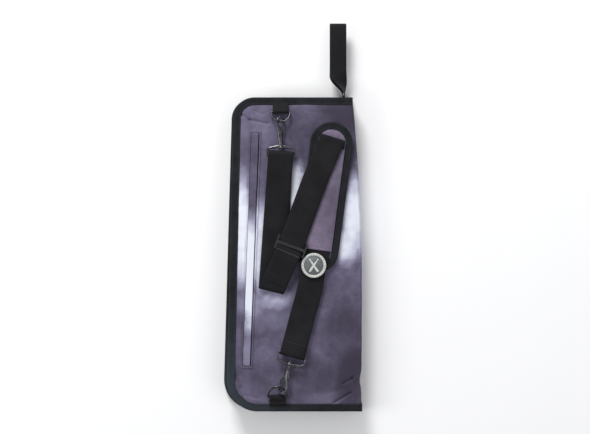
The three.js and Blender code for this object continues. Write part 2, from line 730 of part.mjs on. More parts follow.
// The main ply: from the fold, through the strap slider, up over the pad to the fold at its top.
const lastLeg = directionOf(padRun[1], padRun[2]);
const topFoldRadius = (padRunZ - sleevePlyZ) / 2;
const topFoldPoints = halfTurn(at(padRun[2], padRunZ - topFoldRadius), lastLeg, topFoldRadius, true);
const foldLow = plyOnPanel + 2 * plyPitch + foldSlack;
const padRunPoints = [
  at(along(foldPoint, fromFold, -12), foldLow),
  at(along(foldPoint, fromFold, 8), foldLow),
  at(between(foldPoint, sliderPoint, 0.45), foldLow + (padRunZ - foldLow) * 0.5),
  at(between(foldPoint, sliderPoint, 0.8), padRunZ),
  at(sliderPoint, padRunZ),
  at(padRun[0], padRunZ),
  at(padRun[1], padRunZ),
  ...topFoldPoints,
  at(along(padRun[2], lastLeg, -4), sleevePlyZ),
];
addPiece(bag, 'strap_pad_run', ribbon(padRunPoints, strapWidth, strapThickness, 3), 'webbing');

// The sewn end: the top ply from the fold to the slider's middle bar.
const sliderDirection = directionOf(sliderPoint, padRun[0]);
const sliderBend = Math.acos(fromFold.x * sliderDirection.x + fromFold.y * sliderDirection.y);
const glideReach = glide.bar / 2 + clearance + strapWidth / 2 * Math.tan(sliderBend);
const sewnPoints = [
  at(along(foldPoint, fromFold, -12), foldLow + plyPitch),
  at(along(foldPoint, fromFold, 8), foldLow + plyPitch),
  at(between(foldPoint, sliderPoint, 0.45), foldLow + (padRunZ - foldLow) * 0.5 + plyPitch),
  at(between(foldPoint, sliderPoint, 0.8), padRunZ + plyPitch),
  at(along(sliderPoint, fromFold, -glideReach), padRunZ + plyPitch),
];
addPiece(bag, 'strap_sewn_end', ribbon(sewnPoints, strapWidth, strapThickness, 4), 'webbing');

// From the pad's top, through the sleeve, past the badge and round the lower hook's bar.
const padAxis = { x: -Math.sin(radians(padTilt)), y: -Math.cos(radians(padTilt)) };
const sleeveStart = along(padTop, padAxis, 6);
const hemPoint = along(padTop, padAxis, hemDistance);
const lowerPull = directionOf(lowerBend, lowerHook);
const lowerSpan = Math.hypot(lowerHook.x - lowerBend.x, lowerHook.y - lowerBend.y);
const lowerPoints = [
  at(sleeveStart, sleevePlyZ),
  at(hemPoint, sleevePlyZ),
  at(badgePoint, sleevePlyZ),
  at(lowerBend, sleevePlyZ - 1),
  at(along(lowerBend, lowerPull, lowerSpan - 38), sleevePlyZ + 0.6),
  ...halfTurn(at(lowerHook, hookZ), hookAxis(lowerHook), strapLoopRadius, true),
  at(along(lowerBend, lowerPull, lowerSpan - 36), sleevePlyZ - 1.6),
];
addPiece(bag, 'strap_lower_run', ribbon(lowerPoints, strapWidth, strapThickness, 2.8), 'webbing');

// Strap slider: two rails, a raised middle bar over the ply and two end bars under it.
function glideSolid() {
  const half = glide.width / 2;
  const reach = glide.length / 2;
  const gap = strapThickness / 2 + clearance;
  const low = -gap - glide.thickness;
  const high = gap + glide.thickness;
  const rail = (side) => {
    const [x0, x1] = side > 0 ? [half - glide.rail, half] : [-half, -half + glide.rail];
    return block([x0, x1], [-reach, reach], [low, high]);
  };
  const inside = half - glide.rail + 0.2;
  return join(
    rail(1), rail(-1),
    block([-inside, inside], [-glide.bar / 2, glide.bar / 2], [gap, high]),
    block([-inside, inside], [-reach, -reach + glide.endBar], [low, -gap]),
    block([-inside, inside], [reach - glide.endBar, reach], [low, -gap]),
  );
}

const glideTurn = -THREE.MathUtils.radToDeg(Math.atan2(sliderDirection.x, sliderDirection.y));
addPiece(bag, 'strap_slider', glideSolid(), 'plastic', { ...sliderPoint, z: padRunZ, turn: glideTurn });

// ---------------------------------------------------------------- shoulder pad

const padSpread = padLength - padWidth;
const pad = new THREE.Group();
pad.position.set(padTop.x + padAxis.x * padSpread / 2, padTop.y + padAxis.y * padSpread / 2, 0);
pad.rotation.z = radians(-padTilt);
bag.add(pad);
const padLow = frontFace + clearance;
addPiece(pad, 'pad_base', raise(capsule(padWidth / 2 - padBinding - clearance, padSpread), padLow, padTopZ, 1.2, 10),
  'print');
const padRing = capsule(padWidth / 2, padSpread);
padRing.holes.push(capsule(padWidth / 2 - padBinding, padSpread));
addPiece(pad, 'pad_binding', raise(padRing, padLow, padTopZ, 1.2, 10), 'binding');

const sleeveHalf = padWidth / 2 - padBinding - sleeveSeam;
const sleeveWall = sleeveHalf - sleeveSkin;
const sleeveTop = sleeveZ + sleeveSkin;
const sleeveFoot = padTopZ + clearance;
const channel = polygon([
  [-sleeveHalf, sleeveFoot], [-sleeveWall, sleeveFoot], [-sleeveWall, sleeveZ], [sleeveWall, sleeveZ],
  [sleeveWall, sleeveFoot], [sleeveHalf, sleeveFoot], [sleeveHalf, sleeveTop], [-sleeveHalf, sleeveTop],
]);
const sleeve = raise(channel, 0, sleeveLength).rotateX(Math.PI / 2);
addPiece(pad, 'pad_sleeve', sleeve, 'print', { y: sleeveLength + padSpread / 2 - hemDistance });

// ---------------------------------------------------------------- badge

const badgeLow = sleevePlyZ + strapThickness / 2 + clearance;
const rimLow = badgeLow + badgeBase + clearance;
addPiece(bag, 'badge_base', round(badgeRadius, badgeLow, badgeLow + badgeBase, 40), 'plastic', badgePoint);
const rimShape = new THREE.Shape();
rimShape.absarc(0, 0, badgeRadius, 0, 2 * Math.PI);
const rimHole = new THREE.Path();
rimHole.absarc(0, 0, badgeRadius - badgeRim, 0, 2 * Math.PI);
rimShape.holes.push(rimHole);
addPiece(bag, 'badge_rim', raise(rimShape, rimLow, rimLow + 1.3, 0.4, 20), 'badgeLight', badgePoint);
addPiece(bag, 'badge_disc', round(badgeRadius - badgeRim - clearance, rimLow, rimLow + 0.7, 40), 'badgeDark',
  badgePoint);

// ---------------------------------------------------------------- handle

// A teardrop loop of webbing: both plies together at the seam, apart above, then twisted a quarter
// turn near the seam so that the webbing stands across the bag's edge there.
function handleSolid() {
  const steps = 14;
  const outline = [];
  const inside = [];
  const spread = (share) => handlePly * 0.2 + (handleGap / 2) * Math.sin(Math.PI / 2 * Math.min(1, share * 1.8));
  for (let i = 0; i <= steps; i += 1) {
    const share = i / steps;
    const y = share * (handleLength - handlePly - handleGap / 2);
    outline.push([spread(share) + handlePly, y]);
    inside.push([spread(share), Math.max(y, 1.6)]);
  }
  const topY = handleLength - handlePly - handleGap / 2;
  const shape = new THREE.Shape();
  shape.moveTo(-outline[0][0], 0);
  outline.forEach(([x, y]) => shape.lineTo(x, y));
  const outerR = outline[steps][0];
  shape.absarc(0, topY + handlePly + handleGap / 2 - outerR, outerR, 0.05, Math.PI - 0.05);
  outline.slice(1).reverse().forEach(([x, y]) => shape.lineTo(-x, y));
  shape.closePath();
  const hole = new THREE.Path();
  const innerR = inside[steps][0];
  hole.moveTo(-inside[0][0], inside[0][1]);
  inside.slice(1).forEach(([x, y]) => hole.lineTo(-x, y));
  hole.absarc(0, topY + handlePly + handleGap / 2 - outerR, innerR, Math.PI - 0.05, 0.05, true);
  inside.slice().reverse().forEach(([x, y]) => hole.lineTo(x, y));
  hole.closePath();
  shape.holes.push(hole);
  const loop = raise(shape, -handleWidth / 2, handleWidth / 2, 0, 8);
  loop.rotateY(Math.PI / 2);
  const place = loop.attributes.position;
  for (let i = 0; i < place.count; i += 1) {
    const y = place.getY(i);
    const ease = THREE.MathUtils.smoothstep(y, 0, handleTwistLength);
    const angle = Math.PI / 2 * (1 - ease);
    const [x, z] = [place.getX(i), place.getZ(i)];
    const lean = -handleLean * Math.cos(angle);
    place.setXYZ(i, x * Math.cos(angle) + z * Math.sin(angle) + lean, y, z * Math.cos(angle) - x * Math.sin(angle));
  }
  return loop;
}

addPiece(bag, 'handle_loop', handleSolid(), 'webbing', { ...handleBase, z: middle });

export default bag;
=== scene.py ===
import math

import bmesh
import bpy
import numpy as np
from mathutils import Matrix, Vector, noise


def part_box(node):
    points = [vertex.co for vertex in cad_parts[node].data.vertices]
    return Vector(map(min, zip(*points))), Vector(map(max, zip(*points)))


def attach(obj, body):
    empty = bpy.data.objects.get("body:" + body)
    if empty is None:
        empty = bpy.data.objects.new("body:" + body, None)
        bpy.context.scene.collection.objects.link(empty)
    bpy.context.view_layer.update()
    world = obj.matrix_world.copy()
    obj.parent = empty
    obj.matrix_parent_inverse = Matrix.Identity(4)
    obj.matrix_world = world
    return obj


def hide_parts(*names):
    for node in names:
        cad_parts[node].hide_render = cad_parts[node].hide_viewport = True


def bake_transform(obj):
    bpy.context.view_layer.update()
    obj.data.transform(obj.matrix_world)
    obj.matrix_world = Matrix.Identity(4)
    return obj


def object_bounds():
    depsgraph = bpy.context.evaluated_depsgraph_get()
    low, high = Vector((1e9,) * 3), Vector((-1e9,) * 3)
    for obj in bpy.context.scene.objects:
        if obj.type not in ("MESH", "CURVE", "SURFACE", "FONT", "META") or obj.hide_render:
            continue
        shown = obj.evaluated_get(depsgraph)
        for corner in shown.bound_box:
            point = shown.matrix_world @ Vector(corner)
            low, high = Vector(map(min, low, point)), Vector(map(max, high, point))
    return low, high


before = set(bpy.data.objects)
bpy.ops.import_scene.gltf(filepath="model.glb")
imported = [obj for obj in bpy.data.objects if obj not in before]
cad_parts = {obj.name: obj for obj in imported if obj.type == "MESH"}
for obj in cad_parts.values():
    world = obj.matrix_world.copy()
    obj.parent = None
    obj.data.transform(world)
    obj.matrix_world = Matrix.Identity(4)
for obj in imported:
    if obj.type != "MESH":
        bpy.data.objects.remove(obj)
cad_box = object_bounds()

# A drum stick bag: a padded, printed fabric bag that folds like a book and zips round three sides,
# with a clip-on shoulder strap, a strap pad and a twisted handle.  Shapes are worked out in
# millimetres with y = 0 at the bag's bottom edge and z = 0 at the surface that it lies on, and are
# turned to metres in the row frame as each piece is made.

MM = 0.001
FOOT = cad_box[0].y                                     # the bag's bottom edge, in metres
LENGTH = (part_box("back_binding")[1].y - FOOT) / MM      # of the bag, in millimetres
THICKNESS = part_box("front_panel")[1].z / MM             # floor to front face
BOTTOM_WIDTH, TOP_WIDTH = 209.0, 181.6
CORNER = {"top": 32.0, "bottom": 46.0}
SPINE_BOW, SPINE_SKEW = 7.3, 1.25
MIDDLE = THICKNESS / 2
GAP = 0.3

# ---------------------------------------------------------------- camera

VIEW_WIDTH = 0.885                                      # width of the view at the bag's front face
VIEW_MIDDLE = 0.0045                                    # x at the middle of the view
LENS, SENSOR = 120.0, 36.0
eye = bpy.data.objects.new("eye", bpy.data.cameras.new("eye"))
eye.data.lens, eye.data.sensor_width = LENS, SENSOR
eye.location = (VIEW_MIDDLE, 0.0, VIEW_WIDTH * LENS / SENSOR + THICKNESS * MM)
bpy.context.collection.objects.link(eye)
bpy.context.scene.camera = eye

# ---------------------------------------------------------------- finishes


def linear(text):
    """An sRGB colour such as #1c1c1f as linear red, green, blue and alpha."""
    parts = [int(text[i:i + 2], 16) / 255 for i in (1, 3, 5)]
    return [c / 12.92 if c <= 0.04045 else ((c + 0.055) / 1.055) ** 2.4 for c in parts] + [1.0]


def add(tree, kind, sockets=(), out=0, **settings):
    """Adds a node, sets it, fills or links its sockets, and gives back one of its outputs.  Sockets
    are named in a dictionary or come as a list in the node's own order."""
    node = tree.nodes.new("ShaderNode" + kind)
    for key, value in settings.items():
        setattr(node, key, value)
    for key, value in sockets.items() if isinstance(sockets, dict) else enumerate(sockets):
        if isinstance(value, bpy.types.NodeSocket):
            tree.links.new(value, node.inputs[key])
        else:
            node.inputs[key].default_value = value
    return node.outputs[out]


def finish_of(name, colour, bump=None, **shader):
    """A material whose colour and bump come from two makers that work on its node tree.  Shader
    settings are numbers or makers, with _ for each space in the socket's name."""
    material = bpy.data.materials.new(name)
    material.use_nodes = True
    tree = material.node_tree
    tree.nodes.clear()
    sockets = {"Base Color": colour(tree)}
    for key, value in shader.items():
        sockets[key.replace("_", " ")] = value(tree) if callable(value) else value
    if bump:
        height, depth = bump(tree)
        sockets["Normal"] = add(tree, "Bump", {"Height": height, "Distance": depth, "Strength": 1.0})
    surface = tree.nodes.new("ShaderNodeOutputMaterial").inputs["Surface"]
    tree.links.new(add(tree, "BsdfPrincipled", sockets), surface)
    return material


def on_cloth(tree):
    """Place on the cloth in metres: along it, across it."""
    return add(tree, "Attribute", attribute_name="lay", out=1)


def at_rest(tree):
    """Place in the row frame at rest, in metres."""
    return add(tree, "Attribute", attribute_name="rest", out=1)


def on_part(tree):
    """Place in the piece's own axes, in metres."""
    return add(tree, "TexCoord", out=3)


def weave(tree, where, along_pitch, across_pitch, twill=0.0):
    """Threads over and under each other: a height from 0 to 1 at the given pitches in metres."""
    split = add(tree, "SeparateXYZ", [where]).node
    u, v = [add(tree, "Math", [split.outputs[k], math.pi / pitch], operation="MULTIPLY")
            for k, pitch in enumerate((along_pitch, across_pitch))]
    if twill:
        u = add(tree, "Math", [v, twill, u], operation="MULTIPLY_ADD")
    waves = [add(tree, "Math", [angle], operation="SINE") for angle in (u, v)]
    return add(tree, "MapRange", [add(tree, "Math", waves, operation="MULTIPLY"), -1.0, 1.0, 0.0, 1.0])


def ribs(tree, where, pitch, axis=0):
    """Round ribs across the tape at the given pitch in metres, as a height from 0 to 1."""
    split = add(tree, "SeparateXYZ", [where]).node
    turn = add(tree, "Math", [split.outputs[axis], math.pi / pitch], operation="MULTIPLY")
    return add(tree, "Math", [add(tree, "Math", [turn], operation="SINE")], operation="ABSOLUTE")


def mottle(tree, where, low, high, size, detail=4.0):
    """Two colours in soft patches of the given size in metres."""
    cloud = add(tree, "TexNoise", {"Vector": where, "Scale": 1 / size, "Detail": detail, "Roughness": 0.55})
    blend = add(tree, "MapRange", [cloud, 0.35, 0.65, 0.0, 1.0])
    return add(tree, "Mix", {0: blend, 6: linear(low), 7: linear(high)}, out=2, data_type="RGBA")


def mottled(place, low, high, size, detail=4.0):
    """A colour maker: soft patches of two colours over a place that another maker gives."""
    return lambda tree: mottle(tree, place(tree), low, high, size, detail)


def shaded(tree, colour, height, low, high, span=(0.0, 1.0)):
    """A colour scaled from low to high as a height crosses its span."""
    shade = add(tree, "MapRange", [height, *span, low, high])
    return add(tree, "VectorMath", {0: colour, "Scale": shade}, operation="SCALE")


# Soft bright and dark places of the print: centre x and y and half width and height in millimetres
# of the bag, and how strong each is.
FRONT_CLOUDS = [
    (-76, 275, 22, 92, 1.0), (-66, 262, 22, 84, 0.95), (-46, 248, 17, 80, 0.82), (-40, 218, 16, 46, 0.7),
    (6, 340, 17, 42, 1.0), (12, 318, 16, 40, 0.75), (94, 292, 23, 70, 0.95), (82, 250, 22, 34, 0.9),
    (104, 300, 12, 80, 0.8), (-28, 166, 30, 17, 0.44), (-64, 160, 26, 34, 0.3), (-30, 135, 60, 30, 0.1),
]
FRONT_SHADES = [
    (80, 452, 60, 46, 0.9), (30, 405, 50, 60, 0.5), (87, 288, 7, 13, 0.6), (98, 395, 16, 50, 0.6),
    (78, 120, 46, 66, 0.62), (40, 52, 56, 40, 0.6), (88, 56, 34, 74, 0.9), (-94, 62, 13, 76, 0.7),
    (-62, 388, 26, 30, 0.12), (62, 172, 40, 34, 0.3), (-40, 60, 40, 40, 0.3),
]
FLAP_CLOUDS = [(-62, 205, 24, 96, 1.25), (-66, 90, 20, 30, 0.25)]
FLAP_SHADES = [(-54, 360, 24, 110, 0.25)]
BACK_CLOUDS = [(-40, 350, 46, 60, 1.0), (30, 210, 60, 46, 0.9), (-60, 110, 34, 50, 0.8), (70, 400, 30, 40, 0.7)]
BACK_SHADES = [(50, 320, 60, 50, 0.6), (-20, 220, 40, 50, 0.5), (60, 80, 60, 46, 0.6)]


def patches(tree, where, places):
    """How strongly a point lies in any of the soft round places, from 0 to 1."""
    total = 0.0
    for x, y, wide, tall, strong in places:
        size = (1 / (wide * MM), 1 / (tall * MM), 0.0)
        shift = (-x * MM * size[0], -(y * MM + FOOT) * size[1], 0.0)
        spot = add(tree, "VectorMath", [where, size, shift], operation="MULTIPLY_ADD")
        far = add(tree, "VectorMath", [spot], out=1, operation="LENGTH")
        one = add(tree, "MapRange", [far, 1.25, 0.3, 0.0, strong], interpolation_type="SMOOTHSTEP")
        total = add(tree, "Math", [total, one], operation="MAXIMUM")
    return total


def printed(clouds, shades, low="#544e62", high="#6e687f"):
    """The colour maker for the cloud print, dyed into the fabric, with painted shade between the threads and
    painted light on their tops.
    """
    def colour(tree):
        where = at_rest(tree)
        drift = add(tree, "TexNoise", {"Vector": where, "Scale": 22.0, "Detail": 5.0, "Roughness": 0.6}, out=1)
        level = add(tree, "VectorMath", [drift, (-0.5, -0.5, -0.5)], operation="ADD")
        moved = add(tree, "VectorMath", [level, (0.032, 0.042, 0.0), where], operation="MULTIPLY_ADD")
        flecks = add(tree, "TexNoise", {"Vector": where, "Scale": 95.0, "Detail": 9.0, "Roughness": 0.68})
        ground = shaded(tree, mottle(tree, where, low, high, 0.05, 6.0), flecks, 0.93, 1.07, (0.47, 0.53))
        speck = add(tree, "TexNoise", {"Vector": where, "Scale": 70.0, "Detail": 6.0})
        rough = add(tree, "MapRange", [speck, 0.3, 0.7, 0.84, 1.12])
        bright = add(tree, "Math", [patches(tree, moved, clouds), rough], operation="MULTIPLY")
        washes = [(patches(tree, moved, shades), "#37313f")]
        for faint, full, tint in ((0.05, 0.55, "#a5a4bd"), (0.4, 0.95, "#e0e3ee")):
            washes.append((add(tree, "MapRange", [bright, faint, full, 0.0, 1.0]), tint))
        for share, tint in washes:
            ground = add(tree, "Mix", {0: share, 6: ground, 7: linear(tint)}, out=2, data_type="RGBA")
        # Painted shade between the threads and painted light on their tops, by the weave's height.
        return shaded(tree, ground, weave(tree, where, PRINT_PITCH, PRINT_PITCH), 0.9, 1.05)
    return colour


def cloth_bump(pitch, depth, rumple, rumple_depth):
    """A bump maker: threads at a pitch over rumples of a size in metres, depths in millimetres."""
    def bump(tree):
        where = at_rest(tree)
        soft = add(tree, "TexNoise", {"Vector": where, "Scale": 1 / rumple, "Detail": 3.0})
        sockets = [soft, rumple_depth / depth, weave(tree, where, pitch, pitch)]
        return add(tree, "Math", sockets, operation="MULTIPLY_ADD"), depth * MM
    return bump


# Woven polyester, dye-printed: a matt cloth whose 0.7 mm basket of threads takes the edge off every
# highlight, with soft bright clouds bleeding into purple grey.
PRINT_PITCH = 0.0007
printed_front, printed_flap, printed_back, printed_pad = [
    finish_of(f"printed_polyester_{part}", printed(clouds, shades, *tints),
              cloth_bump(PRINT_PITCH, 0.05, *rumple),
              Roughness=0.75, Sheen_Weight=0.04, Sheen_Roughness=0.5, Specular_IOR_Level=0.12, IOR=1.5)
    for part, clouds, shades, rumple, *tints in (
        ("front", FRONT_CLOUDS, FRONT_SHADES, (0.03, 0.5)), ("flap", FLAP_CLOUDS, FLAP_SHADES, (0.012, 0.2)),
        ("back", BACK_CLOUDS, BACK_SHADES, (0.03, 0.5)),
        ("pad", [], [(60, 300, 30, 60, 0.35)], (0.016, 0.35), "#6a6174", "#81758b"))]


def tape_colour(low, high, pitch, grey_patch=None):
    """Black tape with painted light on its rib tops and painted shade in the grooves, mixed towards a bluish
    grey round one spot if a grey patch is given.
    """
    def colour(tree):
        ground = mottle(tree, at_rest(tree), low, high, 0.02)
        if grey_patch:
            (x, y), reach, grey = grey_patch
            spot = (x * MM, y * MM + FOOT, THICKNESS * MM)
            away = add(tree, "VectorMath", [at_rest(tree), spot], out=1, operation="DISTANCE")
            near = add(tree, "MapRange", [away, reach * MM, 0.0, 0.0, 0.42])
            ground = add(tree, "Mix", {0: near, 6: ground, 7: linear(grey)}, out=2, data_type="RGBA")
        return shaded(tree, ground, ribs(tree, on_cloth(tree), pitch), 0.7, 1.5)
    return colour


def tape_bump(pitch, depth):
    return lambda tree: (ribs(tree, on_cloth(tree), pitch), depth * MM)


# Polyester grosgrain binding, folded over the raw edges and sewn through: cross ribs 1.3 mm apart,
# drawn a little coarser than real so that they show.
# Its colour carries painted light on the rib tops and painted shade in the grooves, and turns bluish grey round
# a spot near the lower left corner.
binding_cloth = finish_of("polyester_grosgrain_binding",
                          tape_colour("#101114", "#1a1c20", 0.0013, ((-96, 30), 130, "#3c4750")),
                          tape_bump(0.0013, 0.12),
                          Roughness=0.8, Sheen_Weight=0.03, Specular_IOR_Level=0.2, IOR=1.5)


def strap_weave(tree):
    return weave(tree, on_cloth(tree), 0.0016, 0.0011, 0.5)


# Painted highlights and painted shade: the webbing's colour is scaled from 0.45 to 2.1 by the height of its
# weave.
def webbing_colour_and_painted_light(tree):
    return shaded(tree, mottle(tree, at_rest(tree), "#0d0d0f", "#151517", 0.03), strap_weave(tree), 0.45, 2.1)


def webbing_bump(tree):
    sockets = [ribs(tree, on_cloth(tree), 0.0032, 1), 0.5, strap_weave(tree)]
    return add(tree, "Math", sockets, operation="MULTIPLY_ADD"), 0.24 * MM


# Polyester strap webbing, woven on a narrow loom: close slanted ribs and a dull, dry black, with painted
# highlights on the thread tops and painted shade between them.
webbing = finish_of("polyester_webbing", webbing_colour_and_painted_light, webbing_bump,
                    Roughness=0.78, Sheen_Weight=0.02, Specular_IOR_Level=0.2, IOR=1.5)

# Nylon lining, plain woven and thin: smoother and a little shinier than the outer cloth.
lining_cloth = finish_of("nylon_lining", mottled(at_rest, "#151518", "#1f1f24", 0.015),
                         cloth_bump(0.0009, 0.04, 0.01, 0.4), Roughness=0.55, Sheen_Weight=0.1, IOR=1.53)

# Twill zip tape: fine cross weave, flat black, with painted light on the rib tops and painted shade in the
# grooves.
tape_cloth = finish_of("polyester_zip_tape", tape_colour("#17181a", "#212226", 0.0009), tape_bump(0.0009, 0.08),
                       Roughness=0.8, IOR=1.5)

# Nylon monofilament coil, drawn and heat-set: smooth plastic that glints along each turn.
coil_nylon = finish_of("nylon_zip_coil", mottled(at_rest, "#1b1c1e", "#2a2b2f", 0.004), Roughness=0.4, IOR=1.53)

# Polyester sewing thread, twisted: slightly brighter than the tape it is sewn into.
thread_black, thread_grey = [
    finish_of(f"polyester_thread_{shade}", mottled(at_rest, low, high, 0.002), Roughness=0.6, IOR=1.5)
    for shade, low, high in (("black", "#2b2c30", "#3a3b40"), ("grey", "#56535f", "#74717f"))]


def pits(scale, detail, depth):
    """A bump maker: fine grain, with its depth in millimetres."""
    def bump(tree):
        return add(tree, "TexNoise", {"Vector": on_part(tree), "Scale": scale, "Detail": detail}), depth * MM
    return bump


def metal(name, low, high, roughness, grain):
    """Cast or drawn metal whose plating varies a little in colour and gloss."""
    def gloss(tree):
        cloud = add(tree, "TexNoise", {"Vector": on_part(tree), "Scale": 1 / grain, "Detail": 5.0})
        return add(tree, "MapRange", [cloud, 0.3, 0.7, *roughness])
    return finish_of(name, mottled(on_part, low, high, grain, 3.0), pits(1400.0, 2.0, 0.012),
                     Metallic=1.0, Roughness=gloss)


def moulded(name, low, high, size, roughness, ior):
    """Moulded plastic with a fine spark grain."""
    return finish_of(name, mottled(on_part, low, high, size), pits(900.0, 3.0, 0.05),
                     Roughness=roughness, IOR=ior)


# Zinc alloy hooks, die-cast and plated in black nickel: dark, with bright soft-edged glints.
black_nickel = metal("black_nickel_zinc", "#4c4d51", "#6c6c70", (0.22, 0.36), 0.006)
# Drawn steel wire rings in the same plating, darker and tighter in their highlights.
ring_steel = metal("black_nickel_steel_wire", "#36373b", "#505054", (0.22, 0.34), 0.005)
# Zip sliders: painted zinc, satin black that wears grey.
zip_zinc = metal("painted_zinc_slider", "#2c2d30", "#44454a", (0.36, 0.52), 0.003)

# Acetal strap slider: satin black with soft edge lights.
slider_acetal = moulded("acetal_slider", "#1c1d1f", "#2a2b2e", 0.004, 0.38, 1.48)
# Soft PVC badge, poured in three colours into one mould: rubbery, with an even satin face.
badge_light = moulded("soft_pvc_light", "#bcbcb7", "#cfcfca", 0.006, 0.5, 1.53)
badge_dark = moulded("soft_pvc_dark", "#54595b", "#64696b", 0.006, 0.55, 1.53)
badge_back = moulded("soft_pvc_backing", "#8f8f8b", "#a3a39f", 0.006, 0.55, 1.53)

# ---------------------------------------------------------------- shapes in code


class Shape:
    """Points in millimetres, faces, and where each point is on its cloth: along, across."""

    def __init__(self, points, faces, lay=None):
        self.points = np.asarray(points, float).reshape(-1, 3)
        self.faces = [tuple(int(i) for i in f) for f in faces]
        self.lay = np.zeros((len(self.points), 2)) if lay is None else np.asarray(lay, float).reshape(-1, 2)

    def moved(self, matrix):
        m = np.array(matrix)
        return Shape(self.points @ m[:3, :3].T + m[:3, 3], self.faces, self.lay)

    def mirrored_up(self, height):
        """Turned upside down about the level z = height / 2."""
        points = self.points.copy()
        points[:, 2] = height - points[:, 2]
        return Shape(points, [f[::-1] for f in self.faces], self.lay)


def together(*shapes):
    points, faces, lay, start = [], [], [], 0
    for s in shapes:
        points.append(s.points)
        lay.append(s.lay)
        faces += [tuple(i + start for i in f) for f in s.faces]
        start += len(s.points)
    return Shape(np.concatenate(points), faces, np.concatenate(lay))


def ripple(x, y, z):
    """Smooth noise between about -1 and 1."""
    return noise.noise(Vector([x, y, z]))


def eased(obj, width):
    """Rounds an object's edges over, by a width in millimetres."""
    edge = obj.modifiers.new("eased_edges", "BEVEL")
    edge.width, edge.segments, edge.limit_method, edge.angle_limit = width * MM, 2, "ANGLE", 0.6


def piece(name, shape, body, material, stands_for=(), ease=0.0):
    """A named object in the row frame from a shape, riding on its body unless body is None."""
    mesh = bpy.data.meshes.new(name)
    points = shape.points * MM + np.array([0.0, FOOT, 0.0])
    mesh.from_pydata([tuple(p) for p in points], [], shape.faces)
    work = bmesh.new()
    work.from_mesh(mesh)
    bmesh.ops.recalc_face_normals(work, faces=work.faces)
    work.to_mesh(mesh)
    work.free()
    for key, values in (("lay", np.column_stack([shape.lay * MM, np.zeros(len(points))])), ("rest", points)):
        layer = mesh.attributes.new(key, "FLOAT_VECTOR", "POINT")
        layer.data.foreach_set("vector", values.astype(np.float32).ravel())
    mesh.polygons.foreach_set("use_smooth", [True] * len(mesh.polygons))
    mesh.materials.append(material)
    obj = bpy.data.objects.new(name, mesh)
    bpy.context.collection.objects.link(obj)
    if ease:
        eased(obj, ease)
    if stands_for:
        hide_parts(*stands_for)
    if body:
        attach(obj, body)
    return obj


def spline(points, step):
    """Points about step apart on a centripetal curve through the given ones."""
    p = np.asarray(points, float)
    p = np.vstack([2 * p[0] - p[1], p, 2 * p[-1] - p[-2]])
    dense = []
    for a, b, c, d in zip(p[:-3], p[1:-2], p[2:-1], p[3:]):
        da, db, dc = (max(1e-4, float(np.linalg.norm(q - r)) ** 0.5) for q, r in ((b, a), (c, b), (d, c)))
        ta = ((b - a) / da - (c - a) / (da + db) + (c - b) / db) * db
        tb = ((c - b) / db - (d - b) / (db + dc) + (d - c) / dc) * db
        for t in np.linspace(0, 1, 20, endpoint=False):
            dense.append(b + ta * t + (3 * c - 3 * b - 2 * ta - tb) * t * t + (2 * b - 2 * c + ta + tb) * t ** 3)
    dense.append(p[-2])
    return evenly(np.array(dense), step)


def evenly(points, step, closed=False):
    """The same line with its points an even step apart."""
    p = np.asarray(points, float)
    if closed:
        p = np.vstack([p, p[:1]])
    run = np.concatenate([[0], np.cumsum(np.linalg.norm(np.diff(p[:, :3], axis=0), axis=1))])
    count = max(2, round(run[-1] / step) + 1)
    marks = np.linspace(0, run[-1], count)
    out = np.column_stack([np.interp(marks, run, p[:, k]) for k in range(p.shape[1])])
    return out[:-1] if closed else out


def directions(path, closed=False):
    if closed:
        d = np.roll(path, -1, 0) - np.roll(path, 1, 0)
    else:
        d = np.gradient(path, axis=0)
    return d / np.linalg.norm(d, axis=1)[:, None]


def joined(rings, n, start=0, closed=False, caps=True):
    """Faces between rings of n points each, with a cap on each end unless they close on themselves."""
    faces = []
    for i in range(rings if closed else rings - 1):
        a, b = start + i * n, start + (i + 1) % rings * n
        faces += [(a + k, a + (k + 1) % n, b + (k + 1) % n, b + k) for k in range(n)]
    if caps and not closed:
        last = start + (rings - 1) * n
        faces += [tuple(range(start, start + n))[::-1], tuple(range(last, last + n))]
    return faces


def sweep(path, profile, closed=False, caps=True):
    """A closed profile of (across, out) points swept along a path.  Across stays horizontal, as a
    strap lies, except where the path is nearly upright."""
    path = np.asarray(path, float)
    ahead = directions(path, closed)
    side = np.zeros_like(path)
    last = np.cross(ahead[0], [0, 0, 1.0])
    for i, t in enumerate(ahead):
        flat = np.cross(t, [0, 0, 1.0])
        if np.linalg.norm(flat) > 0.3:
            s = flat * (1 if flat @ last >= 0 else -1)
        else:
            s = last - t * (last @ t)
        last = side[i] = s / np.linalg.norm(s)
    out = np.cross(side, ahead)
    run = np.concatenate([[0], np.cumsum(np.linalg.norm(np.diff(path, axis=0), axis=1))])
    rings, lay = [], []
    for i in range(len(path)):
        ring = np.asarray(profile(i / (len(path) - 1), run[i]) if callable(profile) else profile, float)
        rings.append(path[i] + side[i] * ring[:, :1] + out[i] * ring[:, 1:2])
        lay.append(np.column_stack([np.full(len(ring), run[i]), ring[:, 0]]))
    return Shape(np.concatenate(rings), joined(len(rings), len(ring), 0, closed, caps), np.concatenate(lay))


def web(width, thickness, count=9):
    """A strap's section: flat, with thinner rounded selvedges."""
    a = np.linspace(-width / 2 + 0.5, width / 2 - 0.5, count)
    b = thickness / 2 * (1 - 0.22 * (np.abs(a) / (width / 2)) ** 8)
    top, bottom = np.column_stack([a, b]), np.column_stack([a[::-1], -b[::-1]])
    return np.vstack([top, [[width / 2, 0.0]], bottom, [[-width / 2, 0.0]]])


